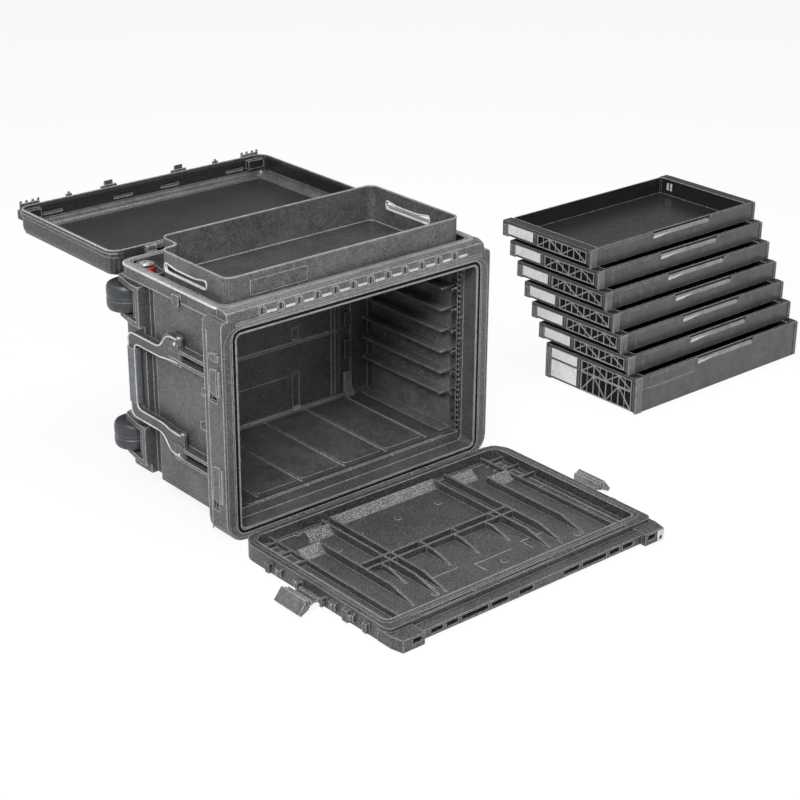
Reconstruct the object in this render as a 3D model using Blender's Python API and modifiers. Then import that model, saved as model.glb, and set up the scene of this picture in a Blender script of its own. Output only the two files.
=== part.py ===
"""Tool case with drawers, in metres, +Z up.

The case stands open: the lid lies back behind it, the front door lies flat on the floor before it,
the top tray sits in its well and the seven drawers stand in a stepped stack beside it.
The origin is at the middle of the front frame on the floor, with the front rim at y = 0.
"""

import math

import bmesh
import bpy
from mathutils import Matrix, Vector

MM = 0.001

# Clearances
GAP = 0.3 * MM              # between pieces that touch
PLAY = 0.5 * MM             # between pieces that move on each other

# Body behind the frame
BODY_WIDTH = 584 * MM
BODY_DEPTH = 325 * MM
BODY_CORNER = 15 * MM
FLOOR_LIFT = 36 * MM        # underside of the body over the ground
FLOOR_THICKNESS = 6 * MM
FLOOR_COVE = 11 * MM        # rounding between the floor and the back wall
SIDE_WALL = 22 * MM         # double side wall, outer skin and runner panel together
SKIN = 5 * MM
BACK_WALL = 25 * MM
BACK_SKIN = 6 * MM

# Front frame
FRAME_FLANGE = 20.5 * MM    # how far it stands out beside the body
FRAME_WIDTH = BODY_WIDTH + 2 * FRAME_FLANGE
FRAME_HEIGHT = 426 * MM
FRAME_PROUD = 16.5 * MM     # how far the frame's face stands before the rim
FRAME_BACK = 38 * MM        # y of the frame's rear flange
FRAME_CORNER = 40 * MM      # its two bottom corners
MOUTH_MARGIN = 12 * MM      # from the opening in the frame to the body's side
MOUTH_WIDTH = BODY_WIDTH - 2 * MOUTH_MARGIN
MOUTH_BOTTOM = 22 * MM
TOP_RAIL = 28 * MM
MOUTH_TOP = FRAME_HEIGHT - TOP_RAIL
MOUTH_DEPTH = 20 * MM       # y where the opening steps in to the bay
SEAL_WIDTH = 6 * MM
SEAL_DEPTH = 5 * MM
SEAL_INSET = 3 * MM         # from the mouth's edge to the seal

# Rim and the well for the tray
RIM_PROUD = 6 * MM
RIM_WIDTH = BODY_WIDTH + 2 * RIM_PROUD
RIM_BOTTOM = FRAME_HEIGHT - 8 * MM
BEAM_TOP = FRAME_HEIGHT + 18 * MM   # top of the rim, also the lid's seat
RIM_CORNER = 25 * MM
RIM_WALL = 15 * MM
WELL_WIDTH = RIM_WIDTH - 2 * RIM_WALL
WELL_FRONT = RIM_WALL
WELL_BACK = BODY_DEPTH - RIM_WALL
WELL_DEPTH = 31.5 * MM
LEDGE_TOP = BEAM_TOP - WELL_DEPTH   # the tray's seat
LEDGE_REACH = 21 * MM

# Runners for the drawers
RAIL_PITCH = 43.4 * MM
RAIL_FIRST = 44 * MM
RAIL_THICKNESS = 4 * MM
RAIL_REACH = 27 * MM        # from the runner panel towards the drawers
RAIL_STEPS = (0, 2, 3, 4, 5, 6, 7)
RACK_PANEL = 3.7 * MM
RACK_FRONT = 22 * MM
RACK_BACK = BODY_DEPTH - 45 * MM
STRIP_WIDTH = 15 * MM
STRIP_THICKNESS = 1.5 * MM

# Lid
LID_HINGE_Y = BODY_DEPTH + 13 * MM
LID_HINGE_Z = BEAM_TOP + 5 * MM
LID_LENGTH = BODY_DEPTH + 20 * MM
LID_DEPTH = 51.5 * MM
LID_WALL = 4 * MM
LID_CORNER = 25 * MM
LID_CROWN = 15 * MM         # rounding of the lid's outer edge
CORNER_BLOCK = 7 * MM       # the lid corner blocks stand out of its front this far
LID_SEAT = 0.4 * MM         # between the closed lid's rim and the case's rim
KNUCKLE_RADIUS = 5.5 * MM
HINGE_PIN_RADIUS = 3 * MM

# Front door, lying open
DOOR_HINGE_Y = -42 * MM
DOOR_HINGE_Z = 6 * MM
DOOR_NEAR = 9.5 * MM        # from the hinge axis to the door's edge
DOOR_LENGTH = FRAME_HEIGHT - 13 * MM
DOOR_DEPTH = 31 * MM
DOOR_SKIN = 9 * MM
DOOR_LIP = 15 * MM
DOOR_CORNER = 14 * MM
DOOR_RIB = 4 * MM
DOOR_RAMPS = ((-128.5 * MM, 115.5 * MM, -80 * MM, 17 * MM), (-201.5 * MM, -149.5 * MM, -98 * MM, 20 * MM),
              (149.5 * MM, 201.5 * MM, -98 * MM, 20 * MM), (-252 * MM, -204.5 * MM, -142 * MM, 22 * MM),
              (204.5 * MM, 252 * MM, -142 * MM, 22 * MM))   # x limits, y of the upper edge, depth

# Drawers, removed and stacked beside the case
DRAWER_PLAY = 5.8 * MM      # from the drawer to the runner panel
DRAWER_WIDTH = BODY_WIDTH - 2 * (SIDE_WALL + RACK_PANEL + DRAWER_PLAY)
DRAWER_LENGTH = RACK_BACK - 16 * MM
DRAWER_HEIGHT = 39.6 * MM
DEEP_HEIGHT = 79.6 * MM
DRAWER_WALL = 2.5 * MM
DRAWER_SIDE = 3 * MM        # thickness of the outer lattice
DRAWER_SHELF = 24 * MM      # from the tub's wall to the lattice's face
DRAWER_FLANGE = 6 * MM
CAP_PROUD = 1.4 * MM        # the end caps stand out of each drawer's front this far
LATTICE_HEIGHT = 33 * MM
STACK_LEFT = 670 * MM
STACK_FRONT = 61 * MM
STACK_STEP = 24.5 * MM      # each drawer stands this much before the one above
STACK_PITCH = 40 * MM
SHALLOW_DRAWERS = 6

# Top tray
TRAY_LEFT = -WELL_WIDTH / 2 + 11 * MM
TRAY_RIGHT = WELL_WIDTH / 2 - 15 * MM
TRAY_FRONT = WELL_FRONT + 5 * MM
TRAY_BACK = WELL_BACK - 27 * MM
TRAY_HEIGHT = 75 * MM
TRAY_WALL = 3 * MM
TRAY_NOTCH_X = TRAY_LEFT + 39 * MM    # the rear left corner leaves room for the wheel housing
TRAY_NOTCH_Y = TRAY_BACK - 58 * MM
TRAY_CORNER = 18 * MM

# Carry handles
HANDLE_AXIS_X = BODY_WIDTH / 2 + 11 * MM
HANDLE_AXIS_Y = 125 * MM
HANDLE_THICKNESS = 13 * MM
HANDLE_REACH = BODY_DEPTH - 37 * MM     # y of the grip's outer edge
HANDLE_TOP = 355 * MM
HANDLE_BOTTOM = 120 * MM
HANDLE_ARM = 20 * MM
HANDLE_PIN_RADIUS = 3 * MM
RIB_REACH = 18 * MM         # the case's handle ribs stand out of the wall this far
RIB_THICKNESS = 6 * MM
RIB_END = 148 * MM
RIB_HEIGHTS = (332 * MM, 311 * MM, 138 * MM, 117 * MM)
SIDE_PANELS = ((46 * MM, 78 * MM, 258 * MM, 279 * MM), (46 * MM, 86 * MM, 190 * MM, 212 * MM))
PANEL_RECESS = 3 * MM
KEEPER_REACH = 3.5 * MM     # the frame's latch keepers stand out of its side this far
KEEPERS = ((352 * MM, 368 * MM), (286 * MM, 338 * MM), (78 * MM, 150 * MM))

# Wheels
WHEEL_X = -BODY_WIDTH / 2 + 12 * MM
WHEEL_Y = BODY_DEPTH + 6 * MM
WHEEL_RADIUS = 38 * MM
WHEEL_WIDTH = 54 * MM
WHEEL_HEIGHTS = (FRAME_HEIGHT - 54 * MM, 93 * MM)
AXLE_RADIUS = 5 * MM
AXLE_HEAD = 8 * MM
HOUSING_FRONT = BODY_DEPTH - 69 * MM
HOUSING_REACH = 12 * MM
HOUSING_CHEEK = 10 * MM
CHANNEL_WIDTH = 34 * MM
SHELF_THICKNESS = 10 * MM

# Pull handle
TUBE_THICKNESS = 10 * MM
TUBE_WIDTH = 22 * MM
TUBE_HEIGHTS = (330 * MM, 110 * MM)
TUBE_TRAVEL = 350 * MM
TUBE_START = -220 * MM
GUIDE_WALL = 3.4 * MM
GRIP_WIDTH = 22 * MM

# Door latches
LATCH_X = FRAME_WIDTH / 2 + 7.5 * MM
LATCH_Z = 14 * MM
LATCH_Y = -267 * MM
LATCH_WIDTH = 60 * MM
LINK_LENGTH = 18 * MM
LEVER_LENGTH = 24 * MM
LEVER_CLEAR = 5 * MM         # from the lever's pin to its wide plate

bpy.context.preferences.edit.use_global_undo = False
for old in list(bpy.data.objects):
    bpy.data.objects.remove(old, do_unlink=True)

case = bpy.data.collections.new("drawer_tool_case")
cutters = bpy.data.collections.new("cutters")
bpy.context.scene.collection.children.link(case)
bpy.context.scene.collection.children.link(cutters)


def material(name, color, roughness, metallic=0.0):
    """A Principled material with a colour, roughness and metallic value."""
    mat = bpy.data.materials.new(name)
    mat.use_nodes = True
    shader = mat.node_tree.nodes["Principled BSDF"]
    shader.inputs["Base Color"].default_value = (*color, 1.0)
    shader.inputs["Roughness"].default_value = roughness
    shader.inputs["Metallic"].default_value = metallic
    return mat


def helper(name, mesh):
    """An object in the cutters' collection, drawn as wire and never rendered."""
    obj = bpy.data.objects.new(name, mesh)
    obj.hide_render = True
    obj.display_type = "WIRE"
    cutters.objects.link(obj)
    return obj


def blocks(name, boxes):
    """One mesh of rectangular blocks, each given as its x, y and z limits."""
    bm = bmesh.new()
    for x, y, z in boxes:
        low, high = Vector((x[0], y[0], z[0])), Vector((x[1], y[1], z[1]))
        place = Matrix.Translation((low + high) / 2) @ Matrix.Diagonal((*(high - low), 1))
        bmesh.ops.create_cube(bm, size=1, matrix=place)
    mesh = bpy.data.meshes.new(name)
    bm.to_mesh(mesh)
    bm.free()
    return helper(name, mesh)


def block(name, x, y, z, bevel=0.0, segments=2, edges=None):
    """A block with rounded edges: all of them, or those along one axis (0, 1 or 2)."""
    obj = blocks(name, [(x, y, z)])
    if bevel:
        bm = bmesh.new()
        bm.from_mesh(obj.data)
        chosen = bm.edges[:]
        if edges is not None:
            chosen = [e for e in chosen
                      if abs((e.verts[0].co - e.verts[1].co).normalized()[edges]) > 0.9]
        bmesh.ops.bevel(bm, geom=chosen, offset=bevel, segments=segments, profile=0.5,
                        affect="EDGES", clamp_overlap=True)
        bm.to_mesh(obj.data)
        bm.free()
    return obj


def open_box(name, x, y, z, corner, fillet, wall, segments=2, foot_steps=1):
    """A tub: a cube without its top, with rounded corners and foot, made solid inwards."""
    obj = blocks(name, [(x, y, z)])
    bm = bmesh.new()
    bm.from_mesh(obj.data)
    top = [f for f in bm.faces if f.normal.z > 0.9]
    bmesh.ops.delete(bm, geom=top, context="FACES")
    upright = [e for e in bm.edges if abs(e.verts[0].co.z - e.verts[1].co.z) > 1e-5]
    bmesh.ops.bevel(bm, geom=upright, offset=corner, segments=segments, profile=0.5, affect="EDGES")
    foot = [e for e in bm.edges if max(v.co.z for v in e.verts) < z[0] + 1e-6]
    bmesh.ops.bevel(bm, geom=foot, offset=fillet, segments=foot_steps, profile=0.5, affect="EDGES")
    bm.to_mesh(obj.data)
    bm.free()
    solid = obj.modifiers.new("wall", "SOLIDIFY")
    solid.thickness = wall
    solid.offset = -1
    solid.use_even_offset = True
    return bake(obj)


def arc_corner(before, corner, after, radius, steps=3):
    """Points of the arc that rounds one corner of an outline."""
    a, b = (before - corner).normalized(), (after - corner).normalized()
    half = math.acos(max(-1, min(1, a.dot(b)))) / 2
    if radius <= 0 or half > 1.56:
        return [corner]
    radius = min(radius, 0.45 * math.tan(half) * min((before - corner).length,
                                                    (after - corner).length))
    center = corner + (a + b).normalized() * radius / math.sin(half)
    start = corner + a * radius / math.tan(half) - center
    turn = (math.pi - 2 * half) * (1 if start.cross(-a) > 0 else -1)
    points = []
    for i in range(steps + 1):
        t = turn * i / steps
        c, s = math.cos(t), math.sin(t)
        points.append(center + Vector((start.x * c - start.y * s, start.x * s + start.y * c)))
    return points


def rounded(points, radius, steps=3):
    """An outline with its corners rounded, by one radius or by one for each corner."""
    corners = [Vector(p) for p in points]
    radii = radius if isinstance(radius, (list, tuple)) else [radius] * len(corners)
    outline = []
    for i, corner in enumerate(corners):
        outline += arc_corner(corners[i - 1], corner, corners[(i + 1) % len(corners)],
                              radii[i], steps)
    return outline


def rectangle(x, y, radius=0.0, steps=3):
    return rounded([(x[0], y[0]), (x[1], y[0]), (x[1], y[1]), (x[0], y[1])], radius, steps)


def inset(points, distance):
    """An outline of straight edges, given counterclockwise, moved inwards."""
    corners = [Vector(p) for p in points]
    moved = []
    for i, corner in enumerate(corners):
        a = (corner - corners[i - 1]).normalized()
        b = (corners[(i + 1) % len(corners)] - corner).normalized()
        na, nb = Vector((-a.y, a.x)), Vector((-b.y, b.x))
        moved.append(corner + (na + nb) * distance / (1 + na.dot(nb)))
    return moved


def circle(x, y, radius, steps=20):
    return [Vector((x + radius * math.cos(2 * math.pi * i / steps),
                    y + radius * math.sin(2 * math.pi * i / steps))) for i in range(steps)]


AXES = {
    "X": Matrix(((0, 0, 1, 0), (1, 0, 0, 0), (0, 1, 0, 0), (0, 0, 0, 1))),
    "Y": Matrix(((1, 0, 0, 0), (0, 0, -1, 0), (0, 1, 0, 0), (0, 0, 0, 1))),
    "Z": Matrix.Identity(4),
}


def plate(name, outlines, axis, low, high):
    """A flat outline with its holes, extruded from low to high along X, Y or Z.

    Outlines are drawn in (y, z) for X, in (x, z) for Y and in (x, y) for Z.
    """
    curve = bpy.data.curves.new(name, "CURVE")
    curve.dimensions = "2D"
    curve.fill_mode = "BOTH"
    curve.extrude = (high - low) / 2
    for outline in outlines:
        spline = curve.splines.new("POLY")
        spline.points.add(len(outline) - 1)
        for point, spot in zip(spline.points, outline):
            point.co = (spot[0], spot[1], 0, 1)
        spline.use_cyclic_u = True
    drawn = bpy.data.objects.new(name, curve)
    case.objects.link(drawn)
    middle = (low + high) / 2
    drawn.matrix_world = AXES[axis] @ Matrix.Translation((0, 0, -middle if axis == "Y" else middle))
    bpy.context.view_layer.update()
    mesh = bpy.data.meshes.new_from_object(drawn.evaluated_get(bpy.context.evaluated_depsgraph_get()))
    mesh.transform(drawn.matrix_world)
    bpy.data.objects.remove(drawn, do_unlink=True)
    bm = bmesh.new()
    bm.from_mesh(mesh)
    bmesh.ops.remove_doubles(bm, verts=bm.verts, dist=0.01 * MM)
    bmesh.ops.recalc_face_normals(bm, faces=bm.faces)
    bm.to_mesh(mesh)
    bm.free()
    return helper(name, mesh)


def rod(name, center, axis, radius, length, sides=16):
    """A round bar along X, Y or Z."""
    bm = bmesh.new()
    bmesh.ops.create_cone(bm, cap_ends=True, segments=sides, radius1=radius, radius2=radius,
                          depth=length, matrix=Matrix.Translation(center) @ AXES[axis])
    mesh = bpy.data.meshes.new(name)
    bm.to_mesh(mesh)
    bm.free()
    return helper(name, mesh)


def bore(name, center, axis, radius, length, sides=8):
    """A cutter for a round hole: its flats, not its corners, lie on the radius."""
    return rod(name, center, axis, radius / math.cos(math.pi / sides), length, sides)


def combine(target, operation, others, overlapping=False):
    for other in others:
        step = target.modifiers.new(other.name, "BOOLEAN")
        step.operation = operation
        step.object = other
        step.solver = "EXACT"
        step.use_self = overlapping
    return target


def join(target, *others):
    return combine(target, "UNION", others)


def cut(target, *others):
    return combine(target, "DIFFERENCE", others)


def bake(obj):
    """Replace an object's mesh by what its modifiers make of it."""
    bpy.context.view_layer.update()
    mesh = bpy.data.meshes.new_from_object(obj.evaluated_get(bpy.context.evaluated_depsgraph_get()))
    obj.modifiers.clear()
    obj.data = mesh
    return obj


def finish(obj, name, mat, origin=(0, 0, 0), smooth=30):
    """Move a piece into the case's collection, with its origin on its joint."""
    bake(obj)
    cutters.objects.unlink(obj)
    case.objects.link(obj)
    obj.name = name
    obj.hide_render = False
    obj.display_type = "TEXTURED"
    obj.data.name = name
    obj.data.transform(Matrix.Translation(-Vector(origin)))
    obj.location = origin
    obj.data.materials.clear()
    obj.data.materials.append(mat)
    obj.data.shade_smooth()
    obj.data.set_sharp_from_angle(angle=math.radians(smooth))
    return obj


def mirrored(source, name):
    """The same piece for the other side of the case."""
    bm = bmesh.new()
    bm.from_mesh(source.data)
    bmesh.ops.scale(bm, vec=(-1, 1, 1), verts=bm.verts)
    bmesh.ops.reverse_faces(bm, faces=bm.faces)
    mesh = bpy.data.meshes.new(name)
    bm.to_mesh(mesh)
    bm.free()
    mesh.materials.append(source.data.materials[0])
    mesh.set_sharp_from_angle(angle=math.radians(30))
    obj = bpy.data.objects.new(name, mesh)
    obj.location = (-source.location.x, source.location.y, source.location.z)
    case.objects.link(obj)
    return obj


def pair(x, y, z):
    """The limits of a block on the left side and of its twin on the right."""
    return [((-x[1], -x[0]), y, z), (x, y, z)]


black = material("case_black", (0.035, 0.037, 0.040), 0.55)
door_black = material("door_black", (0.040, 0.042, 0.045), 0.5)
lid_black = material("lid_black", (0.038, 0.040, 0.043), 0.5)
tray_grey = material("tray_grey", (0.10, 0.105, 0.11), 0.5)
drawer_grey = material("drawer_grey", (0.055, 0.057, 0.060), 0.4)
runner_black = material("runner_black", (0.030, 0.031, 0.033), 0.5)
rubber = material("seal_rubber", (0.015, 0.015, 0.016), 0.8)
grip_grey = material("grip_grey", (0.09, 0.10, 0.12), 0.65)
wheel_grey = material("wheel_grey", (0.06, 0.07, 0.085), 0.6)
steel = material("stainless_steel", (0.62, 0.62, 0.60), 0.3, 1.0)
red = material("valve_red", (0.45, 0.03, 0.02), 0.45)
silver = material("valve_silver", (0.70, 0.70, 0.68), 0.25, 1.0)
aluminium = material("tube_aluminium", (0.55, 0.55, 0.56), 0.35, 1.0)

HALF = FRAME_WIDTH / 2
SIDE = BODY_WIDTH / 2
BAY = SIDE - SIDE_WALL                      # half width between the runner panels' seats
FLOOR = FLOOR_LIFT + FLOOR_THICKNESS
BACK = BODY_DEPTH - BACK_WALL
LEDGE = WELL_WIDTH / 2 - LEDGE_REACH
COLUMN_RIGHT = WHEEL_X + WHEEL_RADIUS + 10 * MM
COLUMN_FRONT = WHEEL_Y - WHEEL_RADIUS - 11 * MM
VALVE_X, VALVE_Y = WHEEL_X + 18 * MM, BODY_DEPTH - 34 * MM
VALVE_LEDGE = FRAME_HEIGHT
RIB_Y = (FRAME_BACK - 10 * MM, RIB_END)
SEAT_INSIDE = 12 * MM                       # land that carries the runner panel
BAY_LAND_FRONT = MOUTH_DEPTH + 22 * MM
LID_KNUCKLES = (130 * MM, 230 * MM)
DOOR_KNUCKLES = (110 * MM, 185 * MM)


def shelf_outline(reach):
    """A wheel shelf: out from the body's side, round the hub and back along the rear."""
    left = -SIDE - reach
    hub = 12 * MM
    points = [(left, HOUSING_FRONT), (-SIDE + 4 * MM, HOUSING_FRONT), (-SIDE + 4 * MM, COLUMN_FRONT + 4 * MM),
              (COLUMN_RIGHT - 2 * MM, COLUMN_FRONT + 4 * MM), (COLUMN_RIGHT - 2 * MM, BODY_DEPTH - 1 * MM), (WHEEL_X + hub, WHEEL_Y + hub),
              (WHEEL_X - hub, WHEEL_Y + hub), (left, HOUSING_FRONT + 24 * MM)]
    return rounded(points, [3 * MM, 0, 0, 0, 0, hub * 0.8, hub * 0.8, 8 * MM], 1)


def knuckle_outline(y, z, foot, start, end, steps=6):
    """A hinge knuckle in (y, z): an arc round the pin from one angle to another, then its foot."""
    arc = []
    for i in range(steps + 1):
        t = math.radians(start + (end - start) * i / steps)
        arc.append(Vector((y + KNUCKLE_RADIUS * math.cos(t), z + KNUCKLE_RADIUS * math.sin(t))))
    return arc + [Vector(p) for p in foot]


def wheel_shelves():
    """The lower and upper limits of the four shelves that hold the wheels' axles."""
    shelves = []
    for height in WHEEL_HEIGHTS:
        top = height + WHEEL_WIDTH / 2 + 3 * MM
        low = height - WHEEL_WIDTH / 2 - 3 * MM
        shelves += [(top, top + SHELF_THICKNESS), (low - SHELF_THICKNESS, low)]
    return shelves


def make_body():
    frame = plate("frame", [rounded(
        [(-HALF, 0), (HALF, 0), (HALF, FRAME_HEIGHT), (-HALF, FRAME_HEIGHT)],
        [FRAME_CORNER, FRAME_CORNER, 10 * MM, 10 * MM], 5)], "Y", -FRAME_PROUD, FRAME_BACK)
    front = WELL_FRONT
    beam = plate("beam", [[(-FRAME_PROUD, MOUTH_TOP - 2 * MM), (front, MOUTH_TOP - 2 * MM),
                           (front, BEAM_TOP), (0, BEAM_TOP), (-FRAME_PROUD + 4 * MM, BEAM_TOP - 5 * MM),
                           (-FRAME_PROUD, FRAME_HEIGHT)]], "X", -RIM_WIDTH / 2, RIM_WIDTH / 2)
    shell = plate("shell", [rounded(
        [(-SIDE, 0), (SIDE, 0), (SIDE, BODY_DEPTH), (-SIDE, BODY_DEPTH)],
        [0, 0, BODY_CORNER, BODY_CORNER])], "Z", FLOOR_LIFT, RIM_BOTTOM + 2 * MM)
    rim = plate("rim", [rectangle((-RIM_WIDTH / 2, RIM_WIDTH / 2), (0, BODY_DEPTH), RIM_CORNER)],
                "Z", RIM_BOTTOM, BEAM_TOP)
    body = join(frame, beam, shell, rim)
    for side in (-1, 1):
        low, high = sorted((side * (HALF - 3 * MM), side * (HALF + KEEPER_REACH)))
        for z0, z1 in KEEPERS:
            join(body, plate("keeper", [[(-2 * MM, z0), (18 * MM, z0 + 4 * MM), (18 * MM, z1 - 4 * MM), (-2 * MM, z1)]],
                             "X", low, high))

    mouth = plate("mouth", [rectangle((-MOUTH_WIDTH / 2, MOUTH_WIDTH / 2), (MOUTH_BOTTOM, MOUTH_TOP),
                                      12 * MM, 4)], "Y", -FRAME_PROUD - 10 * MM, MOUTH_DEPTH)
    bay = blocks("bay", [((-BAY, BAY), (MOUTH_DEPTH - 1 * MM, BACK), (FLOOR, MOUTH_TOP - 4 * MM))])
    well = plate("well", [rectangle((-WELL_WIDTH / 2, WELL_WIDTH / 2), (WELL_FRONT, WELL_BACK),
                                    14 * MM)], "Z", LEDGE_TOP, BEAM_TOP + 10 * MM)
    shaft = plate("shaft", [rectangle((-LEDGE, LEDGE), (WELL_FRONT + LEDGE_REACH, BACK - 4 * MM),
                                      10 * MM)], "Z", MOUTH_TOP - 10 * MM, LEDGE_TOP + 1 * MM)
    cut(body, mouth, bay, well, shaft)
    cove = []
    for i in range(5):
        t = math.radians(90 * i / 4)
        cove.append((BACK - FLOOR_COVE * (1 - math.sin(t)), FLOOR + FLOOR_COVE * (1 - math.cos(t))))
    cove += [(BACK + 2 * MM, FLOOR + FLOOR_COVE), (BACK + 2 * MM, FLOOR - 2 * MM),
             (BACK - FLOOR_COVE, FLOOR - 2 * MM)]
    join(body, plate("floor_cove", [[Vector(p) for p in cove]], "X", -BAY - 1 * MM, BAY + 1 * MM))

    column = plate("wheel_column", [rounded(
        [(-SIDE, COLUMN_FRONT), (COLUMN_RIGHT, COLUMN_FRONT), (COLUMN_RIGHT, BODY_DEPTH - 0.5 * MM),
         (-SIDE, BODY_DEPTH - 0.5 * MM)], [0, 12 * MM, 0, BODY_CORNER])],
        "Z", FLOOR_LIFT + 1 * MM, VALVE_LEDGE)
    valve_ledge = plate("valve_ledge", [rounded(
        [(-WELL_WIDTH / 2 - 4 * MM, VALVE_Y - 29 * MM), (VALVE_X + 24 * MM, VALVE_Y - 29 * MM),
         (VALVE_X + 32 * MM, VALVE_Y + 21 * MM), (-WELL_WIDTH / 2 - 4 * MM, VALVE_Y + 21 * MM)],
        [0, 8 * MM, 0, 0])], "Z", VALVE_LEDGE - 22 * MM, VALVE_LEDGE)
    join(body, column, valve_ledge)

    lead = 1 * MM
    ribs = []
    for height in RIB_HEIGHTS:
        ribs += pair((SIDE - 2 * MM, SIDE + RIB_REACH), RIB_Y,
                     (height - RIB_THICKNESS / 2, height + RIB_THICKNESS / 2))
    steps = pair((SIDE - 2 * MM, SIDE + RIB_REACH - 1 * MM), (FRAME_BACK - 2 * MM, 44 * MM),
                 (60 * MM, MOUTH_TOP + 2 * MM))
    feet = [((x0, x1), (BODY_DEPTH - 55 * MM, BODY_DEPTH - 20 * MM), (0, FLOOR_LIFT + lead))
            for x0, x1 in ((-225 * MM, -150 * MM), (150 * MM, 225 * MM))]
    catches = pair((RIM_WIDTH / 2 - 2 * MM, RIM_WIDTH / 2 + 6 * MM), (124 * MM, 144 * MM),
                   (RIM_BOTTOM - 2 * MM, RIM_BOTTOM + 16 * MM))
    join(body, blocks("frame_steps", steps), blocks("handle_ribs", ribs), blocks("feet", feet),
         blocks("lid_catches", catches))

    for i, (low, high) in enumerate(wheel_shelves()):
        join(body, plate(f"wheel_shelf_{i}", [shelf_outline(HOUSING_REACH)], "Z", low, high))
    cheeks = [((-SIDE - HOUSING_REACH, -SIDE + 2 * MM), (HOUSING_FRONT, HOUSING_FRONT + HOUSING_CHEEK),
               (h - WHEEL_WIDTH / 2 - 8 * MM, h + WHEEL_WIDTH / 2 + 8 * MM)) for h in WHEEL_HEIGHTS]
    join(body, blocks("wheel_cheeks", cheeks))

    knuckles = []
    for side in (-1, 1):
        for x0, x1 in ((LID_KNUCKLES[0], LID_KNUCKLES[0] + 20 * MM),
                       (LID_KNUCKLES[1] - 20 * MM, LID_KNUCKLES[1])):
            low, high = sorted((side * x0, side * x1))
            foot = [(LID_HINGE_Y - KNUCKLE_RADIUS, BEAM_TOP - 0.3 * MM),
                    (BODY_DEPTH - 4 * MM, BEAM_TOP - 0.3 * MM), (BODY_DEPTH - 4 * MM, BEAM_TOP - 12 * MM),
                    (LID_HINGE_Y, BEAM_TOP - 9 * MM)]
            knuckles.append(plate("lid_knuckle", [knuckle_outline(
                LID_HINGE_Y, LID_HINGE_Z, foot, -60, 180)], "X", low, high))
    pitch = (DOOR_KNUCKLES[1] - DOOR_KNUCKLES[0]) / 4
    for side in (-1, 1):
        for k in (0.5, 2.5):
            middle = side * (DOOR_KNUCKLES[0] + (k + 0.5) * pitch)
            low, high = middle - pitch / 2 + PLAY, middle + pitch / 2 - PLAY
            foot = [(-FRAME_PROUD + 4 * MM, DOOR_HINGE_Z - KNUCKLE_RADIUS),
                    (-FRAME_PROUD + 4 * MM, DOOR_HINGE_Z + KNUCKLE_RADIUS)]
            knuckles.append(plate("door_knuckle", [knuckle_outline(
                DOOR_HINGE_Y, DOOR_HINGE_Z, foot, 90, 270)], "X", low, high))
    join(body, *knuckles)

    x1 = MOUTH_WIDTH / 2 + SEAL_INSET
    z0, z1 = MOUTH_BOTTOM - SEAL_INSET, MOUTH_TOP + SEAL_INSET
    groove = plate("seal_groove", [
        rectangle((-x1 - SEAL_WIDTH, x1 + SEAL_WIDTH), (z0 - SEAL_WIDTH, z1 + SEAL_WIDTH), 18 * MM, 4),
        rectangle((-x1, x1), (z0, z1), 12 * MM, 4)], "Y", -FRAME_PROUD - 1 * MM,
        -FRAME_PROUD + SEAL_DEPTH)
    cut(body, groove)

    pockets = [((-280 * MM, 290 * MM), (-FRAME_PROUD - 1 * MM, -FRAME_PROUD + 3 * MM),
                (RIM_BOTTOM - 3 * MM, RIM_BOTTOM + 1 * MM))]
    for i in range(12):
        x = (i - 5.5) * 40.6 * MM
        pockets.append(((x - 7 * MM, x + 7 * MM), (-FRAME_PROUD - 2 * MM, -3 * MM),
                        (RIM_BOTTOM + 5 * MM, RIM_BOTTOM + 17 * MM)))
    cut(body, blocks("beam_pockets", pockets))

    hollows = pair((BAY - 1 * MM, SIDE - SKIN), (BAY_LAND_FRONT, HOUSING_FRONT - CHANNEL_WIDTH - 8 * MM),
                   (FLOOR + SEAT_INSIDE, MOUTH_TOP - 18 * MM))
    hollows += [((BAY - 1 * MM, SIDE - SKIN), (HOUSING_FRONT + 8 * MM, RACK_BACK - SEAT_INSIDE),
                 (FLOOR + SEAT_INSIDE, MOUTH_TOP - 18 * MM))]
    channels = pair((SIDE - 14 * MM, SIDE + 1 * MM), (HOUSING_FRONT - CHANNEL_WIDTH, HOUSING_FRONT), (30 * MM, RIM_BOTTOM - 2 * MM))
    slots = pair((HALF - 6 * MM, HALF + 1 * MM), (2 * MM, 24 * MM), (272 * MM, 300 * MM))
    slots += pair((HALF - 6 * MM, HALF + 1 * MM), (8 * MM, 24 * MM), (60 * MM, 96 * MM))
    recess = [((COLUMN_RIGHT + 6 * MM, SIDE - 8 * MM), (BACK + BACK_SKIN, BODY_DEPTH + 5 * MM),
               (60 * MM, VALVE_LEDGE - 22 * MM))]
    for side in (-1, 1):
        low, high = sorted((side * (SIDE - PANEL_RECESS), side * (SIDE + 1 * MM)))
        for y0, y1, z0, z1 in SIDE_PANELS:
            cut(body, plate("side_panel", [[(y0, z0), (y1, z0), (y1, z0 + 0.55 * (z1 - z0)), (y0 + 12 * MM, z1),
                                            (y0, z1)]], "X", low, high))
    cut(body, blocks("wall_hollows", hollows), blocks("side_channels", channels),
        blocks("frame_slots", slots), blocks("rear_recess", recess))

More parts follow.
